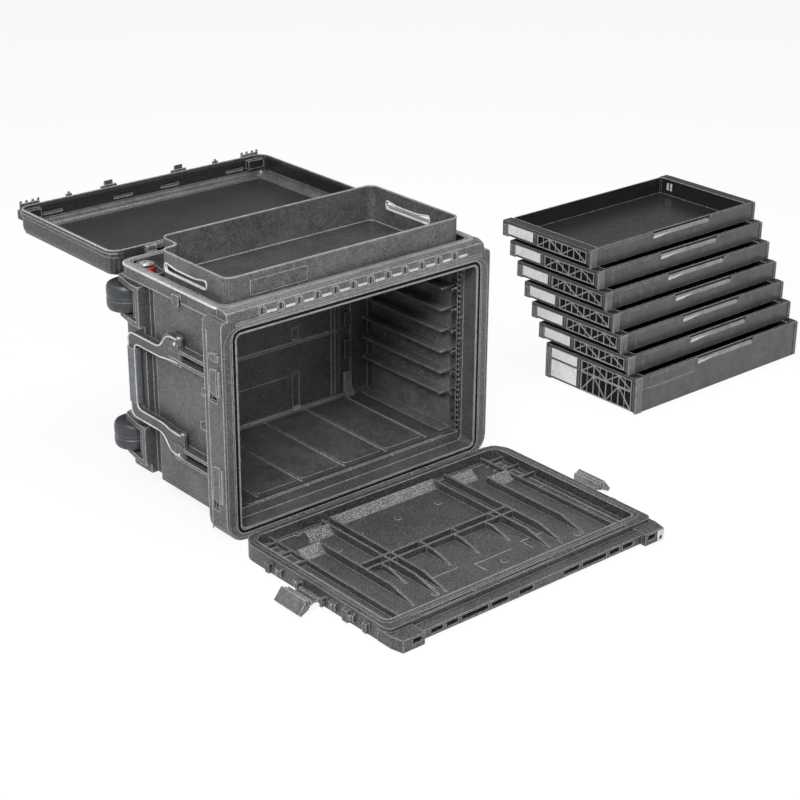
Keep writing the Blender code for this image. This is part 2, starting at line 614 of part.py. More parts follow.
    grooves = [((x - 1.5 * MM, x + 1.5 * MM), (MOUTH_DEPTH - 2 * MM, BACK - 6 * MM),
                (FLOOR - 2 * MM, FLOOR + 1 * MM)) for x in
               [i * 102.5 * MM for i in (-2, -1, 0, 1, 2)]]
    back_cuts = [((-200 * MM, 190 * MM), (188 * MM, 192 * MM)), ((76 * MM, 93 * MM), (FLOOR + 2 * MM, 125 * MM)),
                 ((76 * MM, 93 * MM), (198 * MM, 222 * MM)), ((196 * MM, 226 * MM), (FLOOR + 2 * MM, MOUTH_TOP - 18 * MM))]
    grooves += [(x, (BACK - 1 * MM, BACK + 2.5 * MM), z) for x, z in back_cuts]
    cut(body, blocks("floor_and_back_grooves", grooves))

    holes = []
    for height in WHEEL_HEIGHTS:
        holes.append(rod("wheel_well", (WHEEL_X, WHEEL_Y, height), "Z", WHEEL_RADIUS + 3 * MM,
                         WHEEL_WIDTH + 6 * MM, 20))
        shelf_top = height + WHEEL_WIDTH / 2 + 3 * MM + SHELF_THICKNESS
        holes.append(rod("head_room", (WHEEL_X, WHEEL_Y, shelf_top + 4 * MM), "Z", AXLE_HEAD + 1 * MM,
                         8 * MM, 12))
        holes.append(bore("axle_hole", (WHEEL_X, WHEEL_Y, height), "Z", AXLE_RADIUS + GAP,
                         WHEEL_WIDTH + 6 * MM + 4 * SHELF_THICKNESS, 8))
    for side in (-1, 1):
        for low, high in ((300 * MM, 345 * MM), (108 * MM, 150 * MM)):
            holes.append(bore("handle_pin_hole", (side * HANDLE_AXIS_X, HANDLE_AXIS_Y, (low + high) / 2),
                             "Z", HANDLE_PIN_RADIUS + GAP, high - low, 8))
        for y, z, (x0, x1) in ((LID_HINGE_Y, LID_HINGE_Z, LID_KNUCKLES),
                               (DOOR_HINGE_Y, DOOR_HINGE_Z, DOOR_KNUCKLES)):
            holes.append(bore("hinge_hole", (side * (x0 + x1) / 2, y, z), "X",
                             HINGE_PIN_RADIUS + GAP, x1 - x0 + 10 * MM, 8))
    for height in TUBE_HEIGHTS:
        y = BACK + BACK_SKIN + GAP + GUIDE_WALL + PLAY + TUBE_THICKNESS / 2
        holes.append(block("tube_hole", (SIDE - 20 * MM, SIDE + 5 * MM),
                           (y - TUBE_THICKNESS / 2 - PLAY, y + TUBE_THICKNESS / 2 + PLAY),
                           (height - TUBE_WIDTH / 2 - PLAY, height + TUBE_WIDTH / 2 + PLAY)))
    cut(body, *holes)
    return finish(body, "case_body", black)


def make_seals():
    x1 = MOUTH_WIDTH / 2 + SEAL_INSET + GAP
    z0, z1 = MOUTH_BOTTOM - SEAL_INSET - GAP, MOUTH_TOP + SEAL_INSET + GAP
    width = SEAL_WIDTH - 2 * GAP
    seal = plate("seal", [
        rectangle((-x1 - width, x1 + width), (z0 - width, z1 + width), 18 * MM - GAP, 4),
        rectangle((-x1, x1), (z0, z1), 12 * MM + GAP, 4)], "Y", -FRAME_PROUD,
        -FRAME_PROUD + SEAL_DEPTH - GAP)
    finish(seal, "door_seal", rubber)


def make_lid():
    near = LID_HINGE_Y + 7 * MM
    rim = 2 * LID_HINGE_Z - BEAM_TOP - LID_SEAT
    low = rim - LID_DEPTH
    far = near + LID_LENGTH
    half = RIM_WIDTH / 2
    lid = open_box("lid", (-half, half), (near, far), (low, rim), LID_CORNER, LID_CROWN, LID_WALL, 4, 4)
    bead = plate("lid_bead", [
        rectangle((-half - 2.5 * MM, half + 2.5 * MM), (near, far + 2.5 * MM), LID_CORNER),
        rectangle((-half + LID_WALL / 2, half - LID_WALL / 2), (near + LID_WALL / 2, far - LID_WALL / 2),
                  LID_CORNER - LID_WALL)], "Z", rim - 14 * MM, rim - 6 * MM)
    tongues, corners = [], []
    for side in (-1, 1):
        x = sorted((side * 65 * MM, side * 105 * MM))
        tongues.append((x, (far - 2 * MM, far + 12 * MM), (rim - 22 * MM, rim - 6 * MM)))
        x = sorted((side * 168 * MM, side * 188 * MM))
        tongues.append((x, (far - 2 * MM, far + 8 * MM), (rim - 16 * MM, rim - 4 * MM)))
        x = sorted((side * (half - 46 * MM), side * (half - 4 * MM)))
        corners.append((x, (far - 14 * MM, far + CORNER_BLOCK), (rim - 26 * MM, rim - 8 * MM)))
    join(lid, bead, blocks("lid_tongues", tongues), blocks("lid_corner_blocks", corners))
    for side in (-1, 1):
        x0, x1 = LID_KNUCKLES[0] + 20 * MM + PLAY, LID_KNUCKLES[1] - 20 * MM - PLAY
        low_x, high_x = sorted((side * x0, side * x1))
        foot = [(near + 2 * MM, LID_HINGE_Z - KNUCKLE_RADIUS), (near + 2 * MM, rim - 0.5 * MM)]
        join(lid, plate("lid_leaf", [knuckle_outline(LID_HINGE_Y, LID_HINGE_Z, foot, 60, 270)],
                        "X", low_x, high_x))
    slits = [((x - 22 * MM, x + 22 * MM), (far - LID_WALL - 1 * MM, far - LID_WALL + 1.5 * MM),
              (rim - 26 * MM, rim - 22 * MM)) for x in (-222 * MM, -57 * MM, 57 * MM, 222 * MM)]
    cut(lid, blocks("lid_slits", slits))
    for side in (-1, 1):
        middle = side * sum(LID_KNUCKLES) / 2
        cut(lid, bore("lid_hinge_bore", (middle, LID_HINGE_Y, LID_HINGE_Z), "X",
                     HINGE_PIN_RADIUS + GAP, LID_KNUCKLES[1] - LID_KNUCKLES[0] + 10 * MM, 8))
    finish(lid, "lid_shell", lid_black, (0, LID_HINGE_Y, LID_HINGE_Z))

    for side, name in ((-1, "lid_hinge_pin_left"), (1, "lid_hinge_pin_right")):
        pin = rod(name, (side * sum(LID_KNUCKLES) / 2, LID_HINGE_Y, LID_HINGE_Z), "X",
                  HINGE_PIN_RADIUS, LID_KNUCKLES[1] - LID_KNUCKLES[0], 16)
        finish(pin, name, steel)
    plate_x = half - 43 * MM
    sheet = block("lid_plate", (plate_x, plate_x + 22 * MM), (far + CORNER_BLOCK + GAP, far + CORNER_BLOCK + GAP + 2 * MM),
                  (rim - 24 * MM, rim - 10 * MM))
    finish(sheet, "lid_padlock_plate", steel)


def make_door():
    near = DOOR_HINGE_Y - DOOR_NEAR
    far = near - DOOR_LENGTH
    top = DOOR_DEPTH
    door = plate("door", [rounded([(-HALF, far), (HALF, far), (HALF, near), (-HALF, near)],
                                  [DOOR_CORNER, DOOR_CORNER, FRAME_CORNER, FRAME_CORNER], 6)],
                 "Z", 0, top)
    inner_near, inner_far = near - 14 * MM, far + 24 * MM
    inner = HALF - DOOR_LIP
    pan = plate("door_pan", [rounded([(-inner, inner_far), (inner, inner_far), (inner, inner_near),
                                      (-inner, inner_near)], [18 * MM, 18 * MM, 30 * MM, 30 * MM])],
                "Z", DOOR_SKIN, top + 5 * MM)
    cut(door, pan)

    rib = DOOR_RIB / 2
    low = DOOR_SKIN - 1 * MM
    end = far + 64 * MM
    ribs = []
    for y in (-250 * MM, -270 * MM):
        ribs.append(((-203 * MM, 153 * MM), (y - rib, y + rib), (low, 22 * MM)))
    for x in (-62 * MM, 15 * MM, 105 * MM):
        ribs.append(((x - rib, x + rib), (-270 * MM, -250 * MM), (low, 22 * MM)))
    for y in (-85 * MM, -128 * MM, -172 * MM):
        ribs += pair((254 * MM, inner + 1 * MM), (y - rib, y + rib), (low, 18 * MM))
    ribs += pair((256 * MM - rib, 256 * MM + rib), (far + 39 * MM, -66 * MM), (low, 20 * MM))
    combine(door, "UNION", [blocks("door_ribs", ribs)], overlapping=True)
    tapered = [(x, y0, end, 24 * MM, 60 * MM) for x, y0 in (
        (-203 * MM, -140 * MM), (-148 * MM, -80 * MM), (-130 * MM, -80 * MM), (203 * MM, -140 * MM),
        (148 * MM, -80 * MM), (117 * MM, -80 * MM))]
    tapered += [(x, -272 * MM, -335 * MM, 20.5 * MM, 45 * MM) for x in (-165 * MM, -62 * MM, 5 * MM, 80 * MM)]
    for x, y0, y1, top_z, fall in tapered:
        join(door, plate("tapered_rib", [[(y0, low), (y0, top_z), (y1 + fall, top_z), (y1, low + 1.5 * MM),
                                          (y1, low)]], "X", x - rib, x + rib))
    for x0, x1, y, depth in DOOR_RAMPS:
        join(door, plate("door_ramp", [[(y, low), (y, 23.5 * MM), (y - 3 * MM, 23.5 * MM), (y - depth, low)]],
                         "X", x0, x1))

    rail = [((-300 * MM, 300 * MM), (far - 22 * MM, far + 2 * MM), (3 * MM, 20 * MM))]
    for side in (-1, 1):
        outline = [(262 * MM, far - 32 * MM), (HALF - 4 * MM, far - 32 * MM), (HALF + 2 * MM, far - 8 * MM),
                   (HALF + 2 * MM, far + 26 * MM), (HALF - 6 * MM, far + 26 * MM), (HALF - 6 * MM, far + 3 * MM),
                   (262 * MM, far + 3 * MM)]
        join(door, plate("corner_bracket", [[Vector((side * x, y)) for x, y in outline]], "Z", 1 * MM, 24 * MM))
    tabs = pair((HALF - 2 * MM, HALF + 9 * MM), (-150 * MM, -140 * MM), (4 * MM, 22 * MM))
    tabs += pair((HALF - 2 * MM, HALF + 9 * MM), (-368 * MM, -354 * MM), (4 * MM, 26 * MM))
    tabs += pair((HALF - 2 * MM, HALF + 7 * MM), (-415 * MM, -405 * MM), (4 * MM, 22 * MM))
    join(door, blocks("door_rail", rail), blocks("door_tabs", tabs))

    ears = []
    for y in (LATCH_Y - LATCH_WIDTH / 2 - 6 * MM, LATCH_Y + LATCH_WIDTH / 2 + 1 * MM):
        ears += pair((HALF - 2 * MM, LATCH_X + 5 * MM), (y, y + 5 * MM), (LATCH_Z - 8 * MM, LATCH_Z + 8 * MM))
    join(door, blocks("latch_ears", ears))
    pitch = (DOOR_KNUCKLES[1] - DOOR_KNUCKLES[0]) / 4
    for side in (-1, 1):
        for k in (-0.5, 1.5, 3.5):
            middle = side * (DOOR_KNUCKLES[0] + (k + 0.5) * pitch)
            length = pitch - 2 * PLAY
            foot = [(near - 2 * MM, DOOR_HINGE_Z + KNUCKLE_RADIUS),
                    (near - 2 * MM, DOOR_HINGE_Z - KNUCKLE_RADIUS)]
            join(door, plate("door_leaf", [knuckle_outline(DOOR_HINGE_Y, DOOR_HINGE_Z, foot, -90, 90)],
                             "X", middle - length / 2, middle + length / 2))

    windows = []
    for x0, x1 in ((65, 105), (112, 172), (180, 206), (213, 240)):
        windows += pair((x0 * MM, x1 * MM), (far - 23 * MM, far - 10 * MM), (7 * MM, 16 * MM))
    windows += pair((268 * MM, 288 * MM), (far - 33 * MM, far - 20 * MM), (10 * MM, 20 * MM))
    windows.append(((-40 * MM, -8 * MM), (far - 23 * MM, far - 10 * MM), (7 * MM, 16 * MM)))
    slots = [((x0 * MM, x1 * MM), (far + 4 * MM, far + 10 * MM), (top - 4 * MM, top + 1 * MM))
             for x0, x1 in ((-240, -118), (-62, 65), (118, 250))]
    cut(door, blocks("door_windows", windows), blocks("door_edge_slots", slots))
    bores = []
    for side in (-1, 1):
        bores.append(bore("door_hinge_bore", (side * sum(DOOR_KNUCKLES) / 2, DOOR_HINGE_Y, DOOR_HINGE_Z),
                         "X", HINGE_PIN_RADIUS + GAP, DOOR_KNUCKLES[1] - DOOR_KNUCKLES[0] + 60 * MM, 8))
        bores.append(bore("latch_pin_bore", (side * LATCH_X, LATCH_Y, LATCH_Z), "Y",
                         2.0 * MM + GAP, LATCH_WIDTH + 30 * MM))
    cut(door, *bores)
    finish(door, "front_door", door_black, (0, DOOR_HINGE_Y, DOOR_HINGE_Z))
    for side, name in ((-1, "door_hinge_pin_left"), (1, "door_hinge_pin_right")):
        pin = rod(name, (side * sum(DOOR_KNUCKLES) / 2, DOOR_HINGE_Y, DOOR_HINGE_Z), "X",
                  HINGE_PIN_RADIUS, DOOR_KNUCKLES[1] - DOOR_KNUCKLES[0] + 2 * pitch, 16)
        finish(pin, name, steel)
    sheet = block("door_plate", (HALF - 22 * MM, HALF - 5 * MM),
                  (far - 34 * MM - GAP, far - 32 * MM - GAP), (2 * MM, 23 * MM))
    hole = rod("door_plate_hole", (HALF - 13.5 * MM, far - 33 * MM, 9 * MM), "Y", 4 * MM, 10 * MM, 16)
    finish(cut(sheet, hole), "door_padlock_plate", steel)


def make_latch():
    """Left latch: a link on the door's edge and a lever on the link, with their pins."""
    width = LATCH_WIDTH - 8 * MM
    y = (LATCH_Y - width / 2, LATCH_Y + width / 2)
    end = -LATCH_X - LINK_LENGTH
    finger = 14 * MM
    root = end + 4.5 * MM
    outline = [(-LATCH_X, y[0] + GAP), (-LATCH_X, y[1] - GAP), (end, y[1] - GAP), (end, y[1] - finger + GAP),
               (root, y[1] - finger + GAP), (root, y[0] + finger - GAP), (end, y[0] + finger - GAP),
               (end, y[0] + GAP)]
    link = plate("link", [[Vector(p) for p in reversed(outline)]], "Z", LATCH_Z - 1.5 * MM,
                 LATCH_Z + 1.5 * MM)
    join(link, rod("link_barrel", (-LATCH_X, LATCH_Y, LATCH_Z), "Y", 4 * MM, width, 12))
    for y0 in (y[0], y[1] - finger):
        join(link, rod("link_end", (end, y0 + finger / 2, LATCH_Z), "Y", 3.5 * MM, finger, 10))
    cut(link, bore("link_bore", (-LATCH_X, LATCH_Y, LATCH_Z), "Y", 2.5 * MM, width + 10 * MM, 8),
        bore("link_end_bore", (end, LATCH_Y, LATCH_Z), "Y", 1.8 * MM, width + 10 * MM, 8))
    finish(link, "latch_link_left", black, (-LATCH_X, LATCH_Y, LATCH_Z))

    tip = end - LEVER_LENGTH
    full = LATCH_WIDTH / 2
    inner = width / 2 - finger - PLAY
    lever = plate("lever", [rounded([(tip, LATCH_Y - full), (end - LEVER_CLEAR, LATCH_Y - full),
                                     (end - LEVER_CLEAR, LATCH_Y - inner), (end, LATCH_Y - inner),
                                     (end, LATCH_Y + inner), (end - LEVER_CLEAR, LATCH_Y + inner),
                                     (end - LEVER_CLEAR, LATCH_Y + full), (tip, LATCH_Y + full)],
                                    [6 * MM, 2 * MM, 0, 0, 0, 0, 2 * MM, 6 * MM], 4)],
                  "Z", LATCH_Z - 1.8 * MM, LATCH_Z + 1.8 * MM)
    join(lever, rod("lever_barrel", (end, LATCH_Y, LATCH_Z), "Y", 3.5 * MM, 2 * inner, 10))
    cut(lever, bore("lever_bore", (end, LATCH_Y, LATCH_Z), "Y", 1.8 * MM, width + 20 * MM, 8))
    bake(lever)
    tilt = Matrix.Translation((end, 0, LATCH_Z)) @ Matrix.Rotation(math.radians(-14), 4, "Y") \
        @ Matrix.Translation((-end, 0, -LATCH_Z))
    lever.data.transform(tilt)
    finish(lever, "latch_lever_left", black, (end, LATCH_Y, LATCH_Z))
    pin = rod("pin", (-LATCH_X, LATCH_Y, LATCH_Z), "Y", 2.0 * MM, LATCH_WIDTH + 12 * MM, 8)
    finish(pin, "latch_pin_left", steel, (-LATCH_X, LATCH_Y, LATCH_Z))
    pin = rod("pin", (end, LATCH_Y, LATCH_Z), "Y", 1.4 * MM, width - 1 * MM, 8)
    finish(pin, "lever_pin_left", steel, (end, LATCH_Y, LATCH_Z))
    for part in ("latch_link", "latch_lever", "latch_pin", "lever_pin"):
        mirrored(bpy.data.objects[part + "_left"], part + "_right")


def make_racks():
    """Left runner panel with its ledges, and the steel clip strip at their front ends."""
    outer = -BAY
    inner = outer + RACK_PANEL
    rack = blocks("rack", [((outer + GAP, inner), (RACK_FRONT, RACK_BACK),
                            (FLOOR + GAP, MOUTH_TOP - 4 * MM - GAP))])
    rails = []
    for step in RAIL_STEPS:
        z = RAIL_FIRST + step * RAIL_PITCH - 6 * MM if step else FLOOR + 2 * MM
        rails.append(((inner - 1 * MM, inner + RAIL_REACH), (RACK_FRONT + STRIP_WIDTH + 2 * MM, RACK_BACK),
                      (z, z + RAIL_THICKNESS)))
    join(rack, blocks("rails", rails))
    finish(rack, "runner_rack_left", runner_black)

    face = inner + GAP
    strip = blocks("strip", [((face, face + STRIP_THICKNESS), (RACK_FRONT + 0.5 * MM, RACK_FRONT + STRIP_WIDTH),
                              (FLOOR + 4 * MM, MOUTH_TOP - 8 * MM))])
    clips = []
    for step in RAIL_STEPS[1:]:
        z = RAIL_FIRST + step * RAIL_PITCH - 6 * MM
        clips.append(((face + 1 * MM, face + 14 * MM), (RACK_FRONT + 4 * MM, RACK_FRONT + 12 * MM),
                      (z + 1 * MM, z + 3 * MM)))
        clips.append(((face + 12 * MM, face + 14 * MM), (RACK_FRONT + 1 * MM, RACK_FRONT + 14 * MM),
                      (z - 1 * MM, z + 5 * MM)))
    join(strip, blocks("clips", clips[0::2]), blocks("clip_heads", clips[1::2]))
    finish(strip, "runner_clip_strip_left", steel)
    mirrored(bpy.data.objects["runner_rack_left"], "runner_rack_right")
    mirrored(bpy.data.objects["runner_clip_strip_left"], "runner_clip_strip_right")


def lattice_holes(y0, y1, z0, z1, cells, bar):
    """Two triangular holes in each cell of a lattice, as outlines in (y, z)."""
    outlines = []
    pitch = (y1 - y0) / cells
    for i in range(cells):
        a, b = y0 + i * pitch + bar / 2, y0 + (i + 1) * pitch - bar / 2
        c = bar * 0.9
        if i % 2:
            outlines += [[(a, z0), (b - c, z0), (a, z1 - c)], [(b, z1), (a + c, z1), (b, z0 + c)]]
        else:
            outlines += [[(b, z0), (b, z1 - c), (a + c, z0)], [(a, z1), (a, z0 + c), (b - c, z1)]]
    return outlines


def make_drawer(name, height):
    """A drawer with its front's foot at the origin: a tub between two lattice sides."""
    half = DRAWER_WIDTH / 2
    tub = half - DRAWER_SHELF
    step = 0.3 * MM                      # neighbouring faces are stepped by this
    drawer = open_box(name, (-tub, tub), (4 * MM, DRAWER_LENGTH - 4 * MM), (step, height - 2 * step),
                      5 * MM, 2 * MM, DRAWER_WALL, 1)
    flange = height - DRAWER_FLANGE
    edge = tub - 1 * MM
    join(drawer, blocks("drawer_flanges", pair((edge, half - step), (3 * MM, DRAWER_LENGTH - 10 * MM),
                                               (flange, height - step))))
    tiers = [height - LATTICE_HEIGHT]
    if height > 1.5 * DRAWER_HEIGHT:
        tiers.append(3 * MM)
    lattice_end, pad_end = 160 * MM, 246 * MM
    for low in tiers:
        top = flange + 1 * MM if low == tiers[0] else tiers[0] + 2 * MM
        wall = rectangle((2 * MM, pad_end + 5 * MM), (low, top))
        holes = lattice_holes(13 * MM, lattice_end - 3 * MM, low + 2.5 * MM, top - 4 * MM, 4, 2.5 * MM)
        pad = blocks("drawer_pads", pair((half - DRAWER_SIDE - 2 * MM, half + step),
                                         (lattice_end + 4 * MM, pad_end), (low + 4 * MM, top - 1 * MM)))
        for side in (-1, 1):
            inner, outer = sorted((side * (half - DRAWER_SIDE), side * (half - 3 * step)))
            join(drawer, plate("lattice", [wall] + holes, "X", inner, outer))
        join(drawer, pad)
    join(drawer, blocks("drawer_ends", pair((edge + step, half), (pad_end + 2 * MM, DRAWER_LENGTH),
                                            (tiers[-1] - 2 * MM, height - 2.5 * step))))
    left, right = -0.14 * DRAWER_WIDTH, 0.22 * DRAWER_WIDTH
    panel = plate("drawer_front", [rectangle((-half, half), (0, height), 5 * MM, 1)], "Y", 0, 6 * MM)
    scoop = block("drawer_scoop", (left, right), (-1 * MM, 3 * MM),
                  (height - 9 * MM, height + 9 * MM), 7 * MM, 1, 1)
    join(drawer, bake(cut(panel, scoop)))
    foot, lobe = -CAP_PROUD, -CAP_PROUD - 1.6 * MM
    cap = plate("drawer_cap", [[Vector((-half + x * MM, y)) for x, y in (
        (0.5, 3.3 * MM), (0.5, foot), (3, lobe), (8, lobe), (10.5, foot + 0.4 * MM), (13, lobe), (18, lobe),
        (21, foot), (21, 3.3 * MM))]], "Z", 0.5 * MM, height - 0.9 * MM)
    tail = block("drawer_tail", (half - 7 * MM, half - 0.4 * MM), (-CAP_PROUD, 3.3 * MM), (0.7 * MM, height - 1.1 * MM))
    join(drawer, cap, tail)
    return bake(drawer)


def make_drawers():
    shallow = make_drawer("shallow_drawer", DRAWER_HEIGHT)
    deep = make_drawer("deep_drawer", DEEP_HEIGHT)
    x = STACK_LEFT + DRAWER_WIDTH / 2
    for i in range(SHALLOW_DRAWERS):
        drawer = shallow.copy()
        drawer.data = shallow.data.copy()
        cutters.objects.link(drawer)
        level = (SHALLOW_DRAWERS - 1 - i) * STACK_PITCH + DEEP_HEIGHT + STACK_PITCH - DRAWER_HEIGHT
        spot = (x, STACK_FRONT - i * STACK_STEP, level)
        finish(drawer, f"drawer_{i + 1}", drawer_grey)
        drawer.location = spot
    bpy.data.objects.remove(shallow, do_unlink=True)
    finish(deep, "drawer_deep", drawer_grey)
    deep.location = (x, STACK_FRONT - SHALLOW_DRAWERS * STACK_STEP, 0)


def make_tray():
    corners = [(TRAY_LEFT, TRAY_FRONT), (TRAY_RIGHT, TRAY_FRONT), (TRAY_RIGHT, TRAY_BACK),
               (TRAY_NOTCH_X, TRAY_BACK), (TRAY_NOTCH_X, TRAY_NOTCH_Y), (TRAY_LEFT, TRAY_NOTCH_Y)]
    low = LEDGE_TOP + GAP
    high = low + TRAY_HEIGHT
    tray = plate("tray", [rounded(corners, TRAY_CORNER, 5)], "Z", low, high)
    inside = plate("tray_inside", [rounded(inset(corners, TRAY_WALL), TRAY_CORNER - TRAY_WALL, 5)], "Z",
                   low + TRAY_WALL, high + 10 * MM)
    cut(tray, inside)
    for x in (TRAY_LEFT, TRAY_RIGHT):
        hole = [(105 * MM, high - 38 * MM), (235 * MM, high - 38 * MM), (235 * MM, high - 20 * MM),
                (200 * MM, high - 26 * MM), (140 * MM, high - 26 * MM), (105 * MM, high - 20 * MM)]
        shift = -25 * MM if x < 0 else 0
        hole = [(y + shift, z) for y, z in hole]
        cut(tray, plate("tray_hole", [rounded(hole, 7 * MM, 3)], "X", x - 6 * MM, x + 6 * MM))
    finish(tray, "top_tray", tray_grey)


def make_handle():
    """Left carry handle: flat bail on the case's ribs, rubber grip and two pins."""
    outer = -HANDLE_AXIS_X - HANDLE_THICKNESS / 2
    inner = -HANDLE_AXIS_X + HANDLE_THICKNESS / 2
    y0 = HANDLE_AXIS_Y
    bar = 20 * MM
    arm_top, arm_low = 323 * MM, 150 * MM
    ring = [(y0, HANDLE_BOTTOM), (162 * MM, HANDLE_BOTTOM), (185 * MM, arm_low), (HANDLE_REACH, arm_low),
            (HANDLE_REACH, arm_top), (185 * MM, arm_top), (162 * MM, HANDLE_TOP), (y0, HANDLE_TOP),
            (y0, HANDLE_TOP - 52 * MM), (162 * MM, HANDLE_TOP - 52 * MM), (180 * MM, arm_top - HANDLE_ARM),
            (HANDLE_REACH - bar, arm_top - HANDLE_ARM), (HANDLE_REACH - bar, arm_low + HANDLE_ARM),
            (180 * MM, arm_low + HANDLE_ARM), (162 * MM, HANDLE_BOTTOM + 47 * MM), (y0, HANDLE_BOTTOM + 47 * MM)]
    radii = [0, 14, 14, 24, 24, 14, 14, 0, 0, 10, 10, 10, 10, 10, 10, 0]
    bail = plate("bail", [rounded(ring, [r * MM for r in radii])], "X", outer, inner)
    for low, high in ((HANDLE_BOTTOM, HANDLE_BOTTOM + 47 * MM), (HANDLE_TOP - 52 * MM, HANDLE_TOP)):
        join(bail, rod("bail_barrel", (-HANDLE_AXIS_X, y0, (low + high) / 2), "Z",
                       HANDLE_THICKNESS / 2, high - low, 12))
    slots = []
    for height in RIB_HEIGHTS:
        slots.append(((outer - 5 * MM, inner + 5 * MM), (y0 - 20 * MM, RIB_END + 5 * MM),
                      (height - RIB_THICKNESS / 2 - PLAY, height + RIB_THICKNESS / 2 + PLAY)))
    cut(bail, blocks("bail_slots", slots))
    for low, high in ((HANDLE_BOTTOM - 5 * MM, HANDLE_BOTTOM + 60 * MM), (HANDLE_TOP - 60 * MM, HANDLE_TOP + 5 * MM)):
        cut(bail, bore("bail_bore", (-HANDLE_AXIS_X, y0, (low + high) / 2), "Z",
                      HANDLE_PIN_RADIUS + GAP, high - low))
    finish(bail, "side_handle_left", black, (-HANDLE_AXIS_X, y0, 0))

    hole = [(outer - GAP, inner + GAP), (HANDLE_REACH - bar - GAP, HANDLE_REACH + GAP)]
    cover = 3 * MM
    grip = plate("grip", [rectangle((hole[0][0] - cover, hole[0][1] + cover),
                                    (hole[1][0] - cover, hole[1][1] + cover), 7 * MM, 4),
                          rectangle(hole[0], hole[1])], "Z",
                 arm_low + HANDLE_ARM + 11 * MM, arm_top - HANDLE_ARM - 11 * MM)
    finish(grip, "handle_grip_left", grip_grey, (-HANDLE_AXIS_X, y0, 0))
    for name, low, high in (("handle_pin_upper_left", 300 * MM, HANDLE_TOP),
                            ("handle_pin_lower_left", HANDLE_BOTTOM - 9 * MM, HANDLE_BOTTOM + 47 * MM)):
        pin = rod(name, (-HANDLE_AXIS_X, y0, (low + high + 2 * MM) / 2), "Z", HANDLE_PIN_RADIUS,
                  high + 2 * MM - low, 10)
        head = rod("pin_head", (-HANDLE_AXIS_X, y0, high + GAP + 1.5 * MM), "Z", 5.5 * MM, 3 * MM, 12)
        finish(join(pin, head), name, steel)
    for part in ("side_handle_left", "handle_grip_left", "handle_pin_upper_left", "handle_pin_lower_left"):
        mirrored(bpy.data.objects[part], part.replace("_left", "_right"))


def make_wheels():
    profile = [(AXLE_RADIUS + PLAY, 0.5), (14 * MM, 0.5), (16 * MM, 0.43), (28 * MM, 0.43),
               (31 * MM, 0.5), (WHEEL_RADIUS - 3 * MM, 0.5), (WHEEL_RADIUS, 0.43)]
    for height, place in zip(WHEEL_HEIGHTS, ("upper", "lower")):
        mesh = bpy.data.meshes.new("wheel")
        bm = bmesh.new()
        ring = profile + [(r, -h) for r, h in reversed(profile)]
        verts = [bm.verts.new((r, 0, h * WHEEL_WIDTH)) for r, h in ring]
        for a, b in zip(verts, verts[1:] + verts[:1]):
            bm.edges.new((a, b))
        bm.to_mesh(mesh)
        bm.free()
        wheel = helper("wheel_profile", mesh)
        turn = wheel.modifiers.new("turn", "SCREW")
        turn.steps = turn.render_steps = 20
        turn.use_merge_vertices = True
        turn.merge_threshold = 0.01 * MM
        turn.use_normal_calculate = True
        wheel.location = (WHEEL_X, WHEEL_Y, height)
        finish(wheel, f"wheel_{place}", wheel_grey)
        wheel.location = (WHEEL_X, WHEEL_Y, height)
        span = WHEEL_WIDTH / 2 + 3 * MM + SHELF_THICKNESS
        axle = rod("axle", (WHEEL_X, WHEEL_Y, height), "Z", AXLE_RADIUS, 2 * span + 2 * MM, 16)
        head = rod("axle_head", (WHEEL_X, WHEEL_Y, height + span + GAP + 1.5 * MM), "Z", AXLE_HEAD,
                   3 * MM, 12)
        finish(join(axle, head), f"wheel_axle_{place}", steel)


def make_pull_handle():
    y = BACK + BACK_SKIN + GAP + GUIDE_WALL + PLAY + TUBE_THICKNESS / 2
    start = TUBE_START
    grip_x = (SIDE + PLAY, SIDE + GRIP_WIDTH)
    span = (TUBE_HEIGHTS[1] - 18 * MM, TUBE_HEIGHTS[0] + 18 * MM)
    grip = block("pull_grip", grip_x, (y - 9 * MM, y + 9 * MM), span, 4 * MM, 2)
    tubes = [((start, grip_x[0] + 4 * MM), (y - TUBE_THICKNESS / 2, y + TUBE_THICKNESS / 2),
              (h - TUBE_WIDTH / 2, h + TUBE_WIDTH / 2)) for h in TUBE_HEIGHTS]
    stops = [((start, start + 8 * MM), (y - TUBE_THICKNESS / 2 - 3 * MM, y + TUBE_THICKNESS / 2 + 3 * MM),
              (h - TUBE_WIDTH / 2 - 3 * MM, h + TUBE_WIDTH / 2 + 3 * MM)) for h in TUBE_HEIGHTS]
    join(grip, blocks("tubes", tubes), blocks("stops", stops))
    middle = sum(span) / 2
    cut(grip, blocks("button_well", [((grip_x[1] - 12 * MM, grip_x[1] + 1 * MM), (y - 5 * MM - PLAY, y + 5 * MM + PLAY),
                                      (middle - 18 * MM - PLAY, middle + 18 * MM + PLAY))]))
    finish(grip, "pull_handle", black)
    button = block("button", (grip_x[1] - 7 * MM, grip_x[1] + 3 * MM), (y - 5 * MM, y + 5 * MM),
                   (middle - 18 * MM, middle + 18 * MM), 1 * MM, 1)
    finish(button, "pull_handle_button", grip_grey)
    for height, place in zip(TUBE_HEIGHTS, ("upper", "lower")):
        hy = TUBE_THICKNESS / 2 + PLAY
        hz = TUBE_WIDTH / 2 + PLAY
        guide = plate("guide", [
            rectangle((y - hy - GUIDE_WALL, y + hy + GUIDE_WALL), (height - hz - GUIDE_WALL, height + hz + GUIDE_WALL)),
            rectangle((y - hy, y + hy), (height - hz, height + hz))], "X",
            start + TUBE_TRAVEL + 10 * MM, SIDE - 8 * MM - GAP)
        finish(guide, f"pull_handle_guide_{place}", black)


